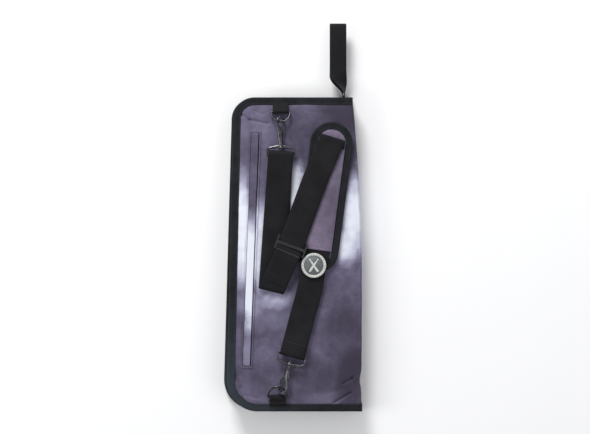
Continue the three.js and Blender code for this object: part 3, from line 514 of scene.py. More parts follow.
def slab(top, bottom):
    """A closed body between two grids of points with the same rows and columns."""
    rows, cols = top.shape[:2]
    points = np.concatenate([top.reshape(-1, 3), bottom.reshape(-1, 3)])
    base = rows * cols
    faces = []
    for r in range(rows - 1):
        for c in range(cols - 1):
            i = r * cols + c
            faces.append((i, i + 1, i + cols + 1, i + cols))
            faces.append((base + i, base + i + cols, base + i + cols + 1, base + i + 1))
    rim = (list(range(cols)) + [r * cols + cols - 1 for r in range(1, rows)]
           + [(rows - 1) * cols + c for c in range(cols - 2, -1, -1)]
           + [r * cols for r in range(rows - 2, 0, -1)])
    for i, j in zip(rim, rim[1:] + rim[:1]):
        faces.append((i, base + i, base + j, j))
    lay = np.concatenate([top.reshape(-1, 3)[:, [1, 0]], bottom.reshape(-1, 3)[:, [1, 0]]])
    return Shape(points, faces, lay)


def lathe(profile, sides=32, closed=False):
    """A profile of (radius, height) turned about Z, with flat ends unless it closes on itself."""
    points, faces = [], []
    n = len(profile)
    for i in range(sides):
        turn, j = math.tau * i / sides, (i + 1) % sides
        points += [(r * math.cos(turn), r * math.sin(turn), z) for r, z in profile]
        for k in range(n if closed else n - 1):
            m = (k + 1) % n
            faces.append((i * n + k, j * n + k, j * n + m, i * n + m))
    if not closed:
        faces += [tuple(i * n + k for i in range(sides)) for k in (0, n - 1)]
    return Shape(points, faces)


def line(x0, y0, x1, y1, z):
    return [(x0, y0, z), (x1, y1, z)]


def stitches(path, up=(0, 0, 1), length=2.5, gap=1.1, width=0.75, height=0.4):
    """A row of thread stitches: small rounded bars laid end to end along a path."""
    path = evenly(path, (length + gap) / 2)
    up = np.array(up, float)
    points, faces = [], []
    for a, b in zip(path[0::2], path[1::2]):
        ahead = (b - a) / max(1e-6, np.linalg.norm(b - a))
        side = np.cross(ahead, up)
        side /= np.linalg.norm(side)
        faces += joined(4, 4, len(points))
        for share, size in ((-0.5, 0.35), (-0.3, 1.0), (0.3, 1.0), (0.5, 0.35)):
            for s, u in ((-0.5, -0.6), (-0.4, 0.7), (0.4, 0.7), (0.5, -0.6)):
                points.append((a + b) / 2 + ahead * length * share
                              + side * width * s * size + up * height * u * size)
    return Shape(points, faces)


def cad_finish(node, material, ease):
    """A carried-over CAD piece in a better finish, with its edges eased."""
    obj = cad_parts[node]
    obj.data.materials.clear()
    obj.data.materials.append(material)
    eased(obj, ease)


def seat(x, y, z, turn=0.0, tilt=0.0, roll=0.0):
    """Where a part sits: moved to a point, turned in plan, tilted about X, rolled about Y."""
    return (Matrix.Translation((x, y, z)) @ Matrix.Rotation(math.radians(turn), 4, "Z")
            @ Matrix.Rotation(math.radians(tilt), 4, "X") @ Matrix.Rotation(math.radians(roll), 4, "Y"))

# ---------------------------------------------------------------- bag outline

ZIP_INSET, BINDING_WIDTH, SPINE_MARGIN = 8.6, 12.0, 2.2
SETBACK = {"top": 3.0, "bottom": 6.0}                   # of the front half's zip side


def half_width(y):
    return BOTTOM_WIDTH / 2 + (TOP_WIDTH - BOTTOM_WIDTH) / 2 * y / LENGTH


def spine_x(y):
    """The spine's edge: bowed, and pinched in where the bottom binding grips it."""
    share = min(1.0, max(0.0, y / LENGTH))
    pinch = 2.6 * math.exp(-((y - 47) / 11) ** 2)
    return half_width(y) + SPINE_BOW * math.sin(math.pi * share ** SPINE_SKEW) - pinch


def zip_side(y, front):
    shift = SETBACK["bottom"] + (SETBACK["top"] - SETBACK["bottom"]) * y / LENGTH if front else 0.0
    return -half_width(y) + shift


def left_edge(y, inset, front):
    """The zip side's x at a height, with its round corners, moved in by an inset."""
    for corner, centre, past in (("top", LENGTH - CORNER["top"], 1), ("bottom", CORNER["bottom"], -1)):
        beyond = (y - centre) * past
        if beyond > 0:
            radius = CORNER[corner] - inset
            return zip_side(centre, front) + CORNER[corner] - math.sqrt(max(0.0, radius ** 2 - beyond ** 2))
    return zip_side(y, front) + inset


def open_edge(inset, front, z, step):
    """The three zipped sides at a level, from the spine's top end round to its bottom end."""
    points = [(spine_x(LENGTH) + 0.4, LENGTH - inset, z)]
    for corner, centre, start in (("top", LENGTH - CORNER["top"], 0.5), ("bottom", CORNER["bottom"], 1.0)):
        middle = zip_side(centre, front) + CORNER[corner]
        for k in range(25):
            turn = math.pi * (start + 0.5 * k / 24)
            radius = CORNER[corner] - inset
            points.append((middle + radius * math.cos(turn), centre + radius * math.sin(turn), z))
    points.append((half_width(0) + 0.9, inset, z))
    return evenly(points, step)


def rows_of(low, high, count):
    """Heights from low to high, closer together in the corners."""
    share = np.linspace(0, 1, count)
    eased = share - 0.055 * np.sin(math.tau * share) - 0.03 * np.sin(2 * math.tau * share)
    return low + (high - low) * eased


def field(inset, front, columns, rows, level):
    """A grid of points inside the outline with a level for each, and the distances that shape it."""
    grid = np.zeros((rows, columns, 3))
    for r, y in enumerate(rows_of(inset, LENGTH - inset, rows)):
        left, right = left_edge(y, inset, front), spine_x(y) - SPINE_MARGIN - 1.0
        for c, x in enumerate(np.linspace(left, right, columns)):
            grid[r, c] = (x, y, level(x, y, x - left, right - x, min(y - inset, LENGTH - inset - y)))
    return grid


# ---------------------------------------------------------------- padded panels

PANEL_INSET = 11.4
PANEL_INNER = THICKNESS - 5.7
WELT = {"x": -61.4, "y": 243.3, "turn": -2.15, "width": 18.0, "length": 357.0, "border": 2.7}
SLOT_FLOOR = THICKNESS - 5.5

# Creases pressed into the cloth: two ends, depth and width in millimetres.
CREASES = [
    (-81, 449, -64, 438, 2.7, 1.9), (-64, 438, -36, 432, 2.4, 1.8), (-58, 452, -44, 446, 0.9, 1.8),
    (-91, 64, -78, 36, 2.6, 2.2), (-78, 36, -74, 16, 2.1, 2.0), (-70, 24, -50, 20, 0.9, 2.2),
    (76, 42, 92, 51, 2.6, 1.7), (90, 49, 97, 40, 2.2, 1.6), (64, 14, 88, 28, 2.6, 1.9),
    (82, 34, 90, 22, 1.6, 1.7),
    (48, 26, 78, 36, 0.6, 3.0), (20, 452, 60, 446, 0.5, 3.0), (-2, 412, 4, 372, 0.7, 2.6),
    (2, 420, 14, 396, 0.5, 2.2), (-75, 392, -50, 384, 0.5, 2.6), (-34, 420, -22, 402, 0.5, 2.2),
    (40, 66, 58, 84, 0.6, 3.0),
    (66, 200, 84, 212, 0.5, 2.4), (-20, 140, 6, 152, 0.45, 2.6), (84, 330, 96, 322, 0.5, 2.2),
]


def crease_depth(x, y):
    total = 0.0
    for x0, y0, x1, y1, depth, width in CREASES:
        dx, dy = x1 - x0, y1 - y0
        share = max(0.0, min(1.0, ((x - x0) * dx + (y - y0) * dy) / (dx * dx + dy * dy)))
        side = ((x - x0) * dy - (y - y0) * dx) / math.hypot(dx, dy)
        away = math.hypot(x - x0 - dx * share, y - y0 - dy * share)
        ridge = math.exp(-((side - 1.8 * width) / width) ** 2) * math.exp(-(away / (3 * width)) ** 2)
        total += depth * (math.exp(-(away / width) ** 2) - 0.3 * ridge)
    return total


def welt_place(x, y):
    """A point of the front in the outer pocket's own axes."""
    turn = math.radians(-WELT["turn"])
    dx, dy = x - WELT["x"], y - WELT["y"]
    return dx * math.cos(turn) - dy * math.sin(turn), dx * math.sin(turn) + dy * math.cos(turn)


def panel_top(x, y, left, right, ends):
    edge = (1 - math.exp(-left / 4.5)) * (1 - math.exp(-max(0.0, ends) / 4.5))
    fall = 1.4 * math.exp(-right / 5.0)
    rumple = 0.75 * ripple(x / 42, y / 58, 3.1) + 0.24 * ripple(x / 13, y / 17, 8.7)
    tug = 0.28 * math.exp(-ends / 14) * ripple(x / 9, 1.0, ends / 40)
    tug += 0.28 * math.exp(-left / 14) * ripple(4.0, y / 11, left / 40)
    return THICKNESS - 2.35 + 2.1 * edge - fall + rumple + tug


def front_top(x, y, left, right, ends):
    z = min(THICKNESS + 0.12, panel_top(x, y, left, right, ends) - crease_depth(x, y))
    across, along = welt_place(x, y)
    if abs(across) < WELT["width"] / 2 + 2 and abs(along) < WELT["length"] / 2 + 2:
        z = THICKNESS - 0.02
    if abs(across) < 7.0 and abs(along) < WELT["length"] / 2 - 2 * WELT["border"]:
        z = SLOT_FLOOR
    return z


def back_top(x, y, left, right, ends):
    return min(THICKNESS, panel_top(-x, LENGTH - y, left, right, ends) + 0.25)


def inner_face(top):
    bottom = top.copy()
    bottom[..., 2] = np.minimum(PANEL_INNER, top[..., 2] - 0.4)
    return bottom


def puffed(obj, cap, highest):
    """Lets the outer cloth of a padded piece swell under air pressure with its rim held, by at most
    cap millimetres, and no higher than a given level."""
    mesh = obj.data
    rest = np.array([v.co for v in mesh.vertices], float)
    held = obj.vertex_groups.new(name="held")
    pinned = np.flatnonzero(rest[:, 2] < (highest - 2.2) * MM)
    held.add([int(i) for i in pinned], 1.0, "REPLACE")
    cloth = obj.modifiers.new("padding", "CLOTH")
    cloth.settings.vertex_group_mass = "held"
    cloth.settings.use_pressure = True
    cloth.settings.uniform_pressure_force = 4.0
    cloth.settings.effector_weights.gravity = 0.0
    cloth.settings.quality = 4
    scene = bpy.context.scene
    for number in range(1, 21):
        scene.frame_set(number)
    shown = obj.evaluated_get(bpy.context.evaluated_depsgraph_get()).data
    swollen = np.array([v.co for v in shown.vertices], float)
    obj.modifiers.remove(cloth)
    scene.frame_set(1)
    shift = swollen - rest
    size = np.linalg.norm(shift, axis=1)[:, None]
    shift *= np.minimum(1.0, cap * MM / np.maximum(size, 1e-9))
    room = np.maximum(highest * MM - rest[:, 2], 1e-6)
    lift = np.maximum(shift[:, 2], 0.0)
    final = rest + shift * np.array([0.4, 0.4, 0.0])
    final[:, 2] += 0.4 * room * (1 - np.exp(-lift / room))
    mesh.vertices.foreach_set("co", final.astype(np.float32).ravel())
    mesh.update()


PANEL_GRID = (96, 210)
front_grid = field(PANEL_INSET, True, *PANEL_GRID, front_top)
front_panel = piece("front_panel_cloth", slab(front_grid, inner_face(front_grid)), "cover",
                    printed_front, ["front_panel"])
puffed(front_panel, 1.5, THICKNESS + 0.12)
back_grid = field(PANEL_INSET, False, *PANEL_GRID, back_top)
back_shape = slab(back_grid, inner_face(back_grid)).mirrored_up(THICKNESS)
back_panel = piece("back_panel_cloth", back_shape, "back_half", printed_back,
                   ["back_panel"])

# The spine: one strip of the same cloth round the fold, from the front panel to the back panel.
SPINE_PROFILE = [(-6.5, 38.45), (-4.6, 38.9), (-3.0, 38.75), (-1.6, 38.1), (-0.6, 36.6), (-0.1, 34.0),
                 (0.0, 30.0), (-0.1, 26.0), (-0.2, 22.0)]
SPINE_PROFILE += [(dx, THICKNESS - z) for dx, z in SPINE_PROFILE[::-1]]
spine_outer = np.zeros((130, len(SPINE_PROFILE), 3))
for row, y in enumerate(np.linspace(0.8, LENGTH - 0.8, 130)):
    gripped = max(0.0, 1 - min(y, LENGTH - y) / 15) ** 0.5
    for col, (dx, z) in enumerate(SPINE_PROFILE):
        dx, z = dx - 1.9 * gripped, MIDDLE + (z - MIDDLE) * (1 - 0.12 * gripped)
        soft = 0.45 * ripple(z / 16, y / 30, 5.0)
        spine_outer[row, col] = (spine_x(y) + dx + soft * (1 if dx > -1 else 0), y, z)
spine_inner = spine_outer - np.array([0.9, 0, 0])
spine_inner[:, :4, 2] -= 0.9
spine_inner[:, -4:, 2] += 0.9
spine = piece("spine_cloth", slab(spine_outer, spine_inner), None, printed_front,
              ["back_spine", "front_spine"])
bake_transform(spine)

# ---------------------------------------------------------------- bindings

def binding_section(share, run):
    """Tape folded over the edge: two soft lengthwise ridges, pulled down a little at each stitch."""
    pull = 0.1 * math.cos(math.tau * run / 3.6) + 0.22 * ripple(run / 17, 0.3, 0.0)
    top = [(a, 3.05 + 0.3 * abs(math.sin((a + 6.2) / 10.6 * math.pi * 2)) + pull * 0.5)
           for a in np.linspace(-5.5, 4.4, 14)]
    outer = [(5.3, 2.6), (5.85, 1.5), (6.0, 0.2), (5.85, -1.3), (5.2, -2.7)]
    under = [(4.0, -3.3), (0.0, -3.45), (-4.0, -3.4), (-5.8, -3.1), (-6.0, -1.8), (-6.0, 0.4), (-5.95, 2.4)]
    return top + [(a + pull * 0.4, b) for a, b in outer] + under


for half, is_front, body in (("front", True, "cover"), ("back", False, "back_half")):
    path = open_edge(BINDING_WIDTH / 2, is_front, THICKNESS - 5.0, 1.2)
    tape = sweep(path, binding_section)
    seam = open_edge(BINDING_WIDTH - 1.7, is_front, THICKNESS - 1.62, 1.5)
    thread = stitches(seam, length=2.4, gap=1.2, width=0.7, height=0.55)
    if not is_front:
        tape, thread = tape.mirrored_up(THICKNESS), thread.mirrored_up(THICKNESS)
    piece(f"{half}_binding_tape", tape, body, binding_cloth, [f"{half}_binding"])
    piece(f"{half}_binding_stitches", thread, body, thread_black)

# ---------------------------------------------------------------- main zip

TOOTH_PITCH = 2.0
TOOTH_SECTION = [(-1.0, 17.5), (1.0, 17.5), (1.15, 18.7), (0.75, 19.7), (0.0, 20.02), (-0.75, 19.7),
                 (-1.15, 18.7)]
TOOTH_MIDDLE = 18.8


def teeth(path):
    """One row of coil turns round the tape's edge, each a small rounded loop."""
    points, faces = [], []
    for p, t in zip(path, directions(path)):
        faces += joined(4, len(TOOTH_SECTION), len(points))
        for share, size in ((-0.44, 0.8), (-0.25, 1.0), (0.25, 1.0), (0.44, 0.8)):
            for r, z in TOOTH_SECTION:
                points.append((p[0] + t[0] * share - t[1] * r * size, p[1] + t[1] * share + t[0] * r * size,
                               TOOTH_MIDDLE + (z - TOOTH_MIDDLE) * size))
    return Shape(points, faces)


def zip_tape_section(share, run):
    wave = 0.12 * ripple(run / 25, 7.0, 0.0)
    face = [(0.45 + wave, b) for b in np.linspace(-4.7, 4.7, 8)]
    return face + [(-0.45 + wave, b) for b in np.linspace(4.7, -4.7, 8)]


zip_line = open_edge(ZIP_INSET, False, 0.0, TOOTH_PITCH / 2)
for half, body, shift in (("back", "back_half", 0), ("front", "cover", 1)):
    row = teeth(zip_line[shift::2])
    tape = sweep(open_edge(ZIP_INSET, False, 13.2, 2.5), zip_tape_section)
    tape.lay = tape.points[:, [1, 2]].copy()
    if half == "front":
        row, tape = row.mirrored_up(THICKNESS), tape.mirrored_up(THICKNESS)
    piece(f"{half}_zip_coil_teeth", row, body, coil_nylon, [f"{half}_zip_coil"])
    piece(f"{half}_zip_tape_cloth", tape, body, tape_cloth, [f"{half}_zip_tape"])

for side in ("upper", "lower"):
    cad_finish(f"zip_slider_{side}", zip_zinc, 0.25)
    cad_finish(f"zip_pull_{side}", zip_zinc, 0.25)

# ---------------------------------------------------------------- linings and inside pockets


def lining_level(z):
    return lambda x, y, left, right, ends: z + 0.14 * ripple(x / 26, y / 31, z)


def lowered(grid, by):
    under = grid.copy()
    under[..., 2] -= by
    return under


def levelled(grid, level):
    """The same grid, flat at one level."""
    under = grid.copy()
    under[..., 2] = level
    return under


def sheet_piece(name, top, thick, body, stands_for):
    """A sheet of lining cloth whose upper side is a grid of points."""
    made = piece(name, slab(top, lowered(top, thick)), body, lining_cloth, stands_for)


for half, body, z in (("back", "back_half", 7.1), ("front", "cover", 31.0)):
    grid = field(12.7, half == "front", 40, 90, lining_level(z))
    sheet_piece(f"{half}_lining_cloth", grid, 0.7, body, [f"{half}_lining"])

STICK = {"left": -77.0, "right": 83.0, "foot": 24.0, "mouth": 324.0, "slots": 4, "base": 8.4, "arch": 13.8}


def stick_skin(x, y):
    """Four tunnels side by side, closed at the foot and sewn down between."""
    pitch = (STICK["right"] - STICK["left"]) / STICK["slots"]
    bulge = abs(math.sin(math.pi * (x - STICK["left"]) / pitch)) ** 0.42
    foot = min(1.0, max(0.0, (y - STICK["foot"]) / 14)) ** 0.5
    slack = 0.5 * ripple(x / 18, y / 40, 2.0)
    return STICK["base"] + (STICK["arch"] + slack) * bulge * foot


def pocket_grid(box, level, columns, rows):
    xs, ys = np.linspace(box["left"], box["right"], columns), np.linspace(box["foot"], box["mouth"], rows)
    return np.array([[(x, y, level(x, y)) for x in xs] for y in ys])


def hem_grid(box, level, below, above, columns, rows):
    """A strip along a pocket's mouth, a little above its cloth."""
    strip = {**box, "foot": box["mouth"] - below, "mouth": box["mouth"] + 0.4}
    return pocket_grid(strip, lambda x, y: level(x, y) + above, columns, rows)


sheet_piece("stick_pocket_cloth", pocket_grid(STICK, stick_skin, 97, 60), 0.8, "back_half",
            ["stick_pocket"])
hem = hem_grid(STICK, stick_skin, 6.5, 0.4, 97, 5)
piece("stick_pocket_hem", slab(hem, lowered(hem, 1.6)), "back_half", binding_cloth)
rows = []
for k in range(STICK["slots"] + 1):
    x = STICK["left"] + (STICK["right"] - STICK["left"]) * k / STICK["slots"]
    x += {0: 0.8, STICK["slots"]: -0.8}.get(k, 0.0)
    rows.append(stitches(line(x, STICK["foot"], x, STICK["mouth"], STICK["base"] + 0.9)))
piece("stick_pocket_seams", together(*rows), "back_half", thread_black)

ACCESSORY = {"left": -70.0, "right": 80.0, "foot": 34.0, "mouth": 204.0}


def accessory_skin(x, y):
    side = min(x - ACCESSORY["left"], ACCESSORY["right"] - x)
    swell = (1 - math.exp(-side / 5)) * (1 - math.exp(-(y - ACCESSORY["foot"]) / 5))
    return 29.8 - 4.9 * swell + 0.25 * ripple(x / 20, y / 24, 6.0)


sheet_piece("accessory_pocket_cloth", pocket_grid(ACCESSORY, accessory_skin, 60, 60), 0.7, "cover",
            ["accessory_pocket"])
hem = hem_grid(ACCESSORY, accessory_skin, 8.0, 0.35, 60, 4)
piece("accessory_pocket_hem", slab(hem, lowered(hem, 1.4)), "cover", binding_cloth)
POUCH = {"left": -75, "right": 79, "foot": 61, "mouth": 423}
pouch = pocket_grid(POUCH, lambda x, y: 33.2 + 0.1 * ripple(x / 30, y / 30, 4.0), 30, 50)
sheet_piece("pocket_bag_cloth", pouch, 1.0, "cover", ["pocket_bag"])

# ---------------------------------------------------------------- outer pocket

welt_seat = seat(WELT["x"], WELT["y"], 0, WELT["turn"])
half_wide, half_long, mid_border = WELT["width"] / 2, WELT["length"] / 2, WELT["border"] / 2
ring = [(right * (half_wide - mid_border), up * (half_long - mid_border), THICKNESS + 0.62)
        for right, up in ((1, 1), (-1, 1), (-1, -1), (1, -1))]
border = [(-1.35, -0.32), (1.35, -0.32), (1.35, 0.05), (1.0, 0.3), (0.3, 0.4), (-0.4, 0.4), (-1.1, 0.28),
          (-1.35, 0.0)]
frame_shape = sweep(evenly(ring, 1.2, closed=True), border, closed=True).moved(welt_seat)
piece("pocket_frame_cloth", frame_shape, "cover", printed_front, ["pocket_frame"])
FLAP_SECTION = [(-5.9, 0.42), (-5.6, 0.6), (-4.6, 0.72), (-2.6, 0.82), (0.0, 0.9), (2.4, 1.0), (4.0, 1.06),
                (4.5, 0.98), (4.75, 0.8)]
flap = np.array([[(x, y, THICKNESS + z + 0.1 * ripple(x / 9, y / 22, 1.5)) for x, z in FLAP_SECTION]
                 for y in np.linspace(-half_long + 3.1, half_long - 3.1, 120)])
flap_piece = piece("pocket_flap_cloth", slab(flap, levelled(flap, THICKNESS + 0.3)).moved(welt_seat), "cover",
                   printed_flap, ["pocket_flap"])
slot_half = half_long - 2 * WELT["border"] - GAP
slot_box = {"left": -4.6, "right": 4.6, "foot": -slot_half, "mouth": slot_half}
tape_grid = pocket_grid(slot_box, lambda x, y: THICKNESS - 4.95, 6, 60)
slot_tape = slab(tape_grid, lowered(tape_grid, 0.7)).moved(welt_seat)
piece("pocket_zip_tape_cloth", slot_tape, "cover", tape_cloth, ["pocket_zip_tape"])
cad_finish("pocket_zip_slider", zip_zinc, 0.3)
welt_rows = [stitches(line(x, -half_long + 1, x, half_long - 1, THICKNESS + 1.02),
                      length=2.2, gap=0.9, width=wide, height=0.2)
             for x, wide in ((-half_wide + 0.7, 0.38), (-half_wide + 2.2, 0.38), (half_wide - 1.0, 0.35))]
piece("pocket_frame_stitches", together(*welt_rows).moved(welt_seat), "cover",
      thread_black)
tacks = []
for up in (-1, 1):
    y = up * (half_long - 1.4)
    tacks.append(stitches(line(-half_wide + 1, y, half_wide - 1, y, THICKNESS + 1.05),
                          length=2.0, gap=0.8, width=0.4, height=0.22))
    for x in (-half_wide + 2.4, half_wide - 2.4):
        tacks.append(stitches(line(x - 1.2, y - 0.9 * up, x + 1.4, y - 1.3 * up, THICKNESS + 1.1),
                              length=1.9, gap=0.3, width=1.0, height=0.3))
piece("pocket_frame_bartacks", together(*tacks).moved(welt_seat), "cover", thread_grey)

# ---------------------------------------------------------------- rings and tabs

WEB_THICK = 1.5
RING_WIRE, RING_HALF, RING_REACH = 1.5, 14.0, 16.6


def tube(points, step=0.6, power=1.0, closed=False, sides=16):
    """A rounded bar along control points that each carry their two radii, in plan and upright."""
    path = spline(points, step)
    if closed:
        path = path[:-1]
    turn = np.linspace(0, math.tau, sides, endpoint=False)
    ring = np.column_stack([np.sign(a) * np.abs(a) ** power for a in (np.cos(turn), np.sin(turn))])
    return sweep(path[:, :3], lambda share, run: ring * path[round(share * (len(path) - 1)), 3:5], closed)


def arc(x, y, radius, start, stop, count=13):
    """Plan points on a circle from one angle to another, in degrees."""
    turns = np.radians(np.linspace(start, stop, count))
    return [(x + radius * math.cos(t), y + radius * math.sin(t)) for t in turns]


def ring_shape():
    corner, low = 1.5, RING_REACH - RING_HALF
    right = [(0.0, 0.0), (6.0, 0.0), (RING_HALF - corner, 0.0)]
    right += arc(RING_HALF - corner, -corner, corner, 75, 0, 4)
    bow = arc(0, -low, RING_HALF, 0, -180, 25)
    left = [(-x, y) for x, y in right[::-1]]
    plan = right + bow + left
    return tube([(x, y, 0, RING_WIRE, RING_WIRE) for x, y in plan], step=0.7, closed=True)


def tab_shape(reach):
    """The webbing loop that holds a ring, from under the binding, round the bar and back."""
    under = [(0, reach + 4.2, -6.6), (0, reach + 2.6, -5.0), (0, reach, -3.0), (0, 5.5, -2.6), (0, 2.0, -2.5)]
    turn = [(0, 2.45 * math.cos(t), 2.45 * math.sin(t)) for t in np.radians(np.linspace(-90, -270, 13))]
    over = [(0, 1.8, 2.3), (0, 4.6, 0.2), (0, 7.0, -1.1), (0, reach, -1.55), (0, reach + 2.6, -3.6),
            (0, reach + 4.2, -5.2)]
    return sweep(spline(under + turn + over, 0.6), web(24.0, 1.2))


RINGS = {
    "upper": {"ring": (-17.0, 450.2, 43.4, 0.0), "reach": 9.5, "hook": (-16.9, 382.2, 49.3, 0.0)},
    "lower": {"ring": (-21.5, 22.3, 43.4, 180.0), "reach": 10.0, "hook": (0.6, 86.4, 49.3, 164.0)},
}
RING_TILT, SWIVEL_ROLL = -20.8, 42.0
for side, set_ in RINGS.items():
    x, y, z, turn = set_["ring"]
    piece(f"d_ring_{side}_wire", ring_shape().moved(seat(x, y, z, turn, RING_TILT)), f"ring_{side}",
          ring_steel, [f"d_ring_{side}"])
    tab_at, reach = seat(x, y, z, turn), set_["reach"]
    piece(f"ring_tab_{side}_web", tab_shape(reach).moved(tab_at), "cover", webbing,
          [f"ring_tab_{side}"])
    seam = stitches(line(-11.2, reach - 1.4, 11.2, reach - 1.4, -0.78),
                    length=1.9, gap=0.8, width=0.6, height=0.35)
    piece(f"ring_tab_{side}_stitches", seam.moved(tab_at), "cover", thread_black)

# ---------------------------------------------------------------- hooks

SWIVEL_AXIS = Matrix.Rotation(-math.pi / 2, 4, "X")     # turns a lathed part's axis to the hook's


def bow_shape():
    right = [(0, 0, 1.7), (8, 0, 1.7), (17.6, 0, 1.65), (19.9, 1.0, 1.5), (20.5, 3.6, 1.4), (20.5, 7.6, 1.45),
             (19.7, 11.2, 1.7), (17.0, 13.0, 2.0), (12.6, 13.9, 2.3), (8.0, 14.8, 2.5), (4.0, 15.5, 2.6),
             (0, 15.7, 2.6)]
    plan = right + [(-x, y, r) for x, y, r in right[-2::-1]]
    loop = tube([(x, y, 0, r, min(r, 2.1)) for x, y, r in plan], step=0.8, closed=True, power=0.9)
    boss = lathe([(2.0, 11.6), (3.0, 11.8), (4.0, 12.6), (4.3, 13.6), (4.3, 15.2), (3.9, 16.4), (3.4, 16.9),
                  (2.0, 17.0)])
    return together(loop, boss.moved(SWIVEL_AXIS))


def hook_shape():
    """The swivelling hook: a neck that leans aside, and a round eye open at its mouth."""
    neck = [(0, 17.6, 3.3, 3.3), (0, 20, 3.1, 3.1), (0, 24, 4.1, 3.3), (-0.3, 31, 4.9, 3.0),
            (-1.7, 37.5, 4.5, 2.7), (-4.5, 43.0, 3.2, 2.1), (-6.8, 48.5, 2.0, 1.8)]
    round_eye = [(x, y, 1.7, 1.7) for x, y in arc(0, 52.1, 7.2, 172, -20.6, 16)]
    tip = [(x, y, 1.3, 1.3) for x, y in arc(0, 52.1, 7.2, -24, -24, 1)]
    return tube([(x, y, 0, a, b) for x, y, a, b in neck + round_eye + tip], step=0.7, power=0.85, sides=20)


def without(shape, low, high):
    """The shape with a box-shaped slot taken out of it."""
    (x0, y0, z0), (x1, y1, z1) = low, high
    top = np.array([[(x, y, z1) for x in (x0, x1)] for y in (y0, y1)], float)
    made = [piece(name, part, None, black_nickel)
            for name, part in (("slot_body", shape), ("slot_tool", slab(top, top - np.array([0, 0, z1 - z0]))))]
    slot = made[0].modifiers.new("slot", "BOOLEAN")
    slot.operation, slot.object, slot.solver = "DIFFERENCE", made[1], "EXACT"
    mesh = made[0].evaluated_get(bpy.context.evaluated_depsgraph_get()).data
    points = np.array([v.co for v in mesh.vertices], float) / MM - np.array([0.0, FOOT / MM, 0.0])
    result = Shape(points, [list(f.vertices) for f in mesh.polygons])
    for obj in made:
        bpy.data.objects.remove(obj)
    return result


collar = lathe([(2.4, 17.3), (3.6, 17.4), (3.95, 17.9), (3.95, 18.9), (3.6, 19.4), (2.6, 19.6)])
hook_cast = together(without(hook_shape(), (-0.6, 25.5, -1.3), (9.0, 41.5, 2.2)), collar.moved(SWIVEL_AXIS))
for side, set_ in RINGS.items():
    x, y, z, turn = set_["hook"]
    piece(f"hook_bow_{side}_cast", bow_shape().moved(seat(x, y, z, turn)), f"bow_{side}",
          black_nickel, [f"hook_bow_{side}"])
    piece(f"hook_body_{side}_cast", hook_cast.moved(seat(x, y, z, turn, roll=SWIVEL_ROLL)), f"hook_{side}",
          black_nickel, [f"hook_body_{side}"], ease=0.15)
    for node, ease in (("hook_gate", 0.3), ("gate_pin", 0.12), ("gate_spring", 0.12), ("hook_rivet", 0.12)):
        cad_finish(f"{node}_{side}", black_nickel, ease)

# ---------------------------------------------------------------- shoulder strap

LOWER_PLY, SECOND_PLY, FOLD_PLY, SEWN_PLY, TOP_RUN, SLEEVE_PLY = 41.05, 42.85, 45.25, 47.05, 52.5, 47.35
STRAP_WIDTH = 38.0
FOLD, SLIDER, BADGE, BEND = (-31.4, 180.6), (-1.5, 248.7), (32.6, 219.8), (26.2, 182.7)
PAD_RUN = [(14.9, 294.2), (34.6, 347.7)]
TOP_FOLD, UNDER_TOP, PAD_HEM = (62.0, 412.5), (57.8, 391.0), (38.3, 242.8)
FOLD_REACH = 12.0
LOOP_SLACK = 5.2                                        # webbing pushed past the hook's bar
strap_section = web(STRAP_WIDTH, WEB_THICK, 11)


def unit(a, b):
    d = np.array(b, float)[:2] - np.array(a, float)[:2]
    return d / np.linalg.norm(d), float(np.linalg.norm(d))


def folded(corner, arriving, leaving, level, radius, up=1.0):
    """Webbing turned over on itself at a slant: it arrives one way and leaves, a ply higher or
    lower, the other way."""
    line = arriving + leaving
    line /= np.linalg.norm(line)
    beyond = np.array([line[1], -line[0]])
    beyond *= 1 if beyond @ arriving > 0 else -1
    side = np.array([arriving[1], -arriving[0]])
    rings, lay = [], []
    for s in np.arange(-FOLD_REACH, FOLD_REACH + 0.01, 0.5):
        for a, b in strap_section:
            spot = np.array(corner) + arriving * s + side * a
            past = (spot - corner) @ beyond + math.pi * radius / 2
            turn = min(max(past / radius, 0.0), math.pi)
            foot = spot - beyond * max(0.0, past)
            arm = radius - up * b
            out = foot + beyond * (arm * math.sin(turn) - max(0.0, past - math.pi * radius))
            rings.append((*out, level + up * (radius - arm * math.cos(turn))))
            lay.append((s, a))
    n = len(strap_section)
    return Shape(rings, joined(len(rings) // n, n), lay)


def ply(points):
    return sweep(spline(points, 2.0), strap_section)


def at(origin, ahead, s, z):
    return (origin[0] + ahead[0] * s, origin[1] + ahead[1] * s, z)


def course(origin, ahead, *stations):
    """Points at distances and levels along a straight way."""
    return [at(origin, ahead, s, z) for s, z in stations]


def round_bar(origin, ahead, span, level, first, slack=0.0):
    """Half a turn round a hook's bar, from below it (first = -1) or from above (first = 1)."""
    return [at(origin, ahead, span + slack + BAR_REACH * math.cos(t), level + BAR_REACH * math.sin(t))
            for t in np.linspace(first * math.pi / 2, -first * math.pi / 2, 11)]


def cross_seam(origin, ahead, s, z, reach, **thread):
    """Stitches straight across a strap at a distance along it, from one side to the other."""
    middle, half_way = np.array(at(origin, ahead, s, z)), np.array([ahead[1], -ahead[0], 0.0]) * reach
    return stitches([middle - half_way, middle + half_way], **thread)


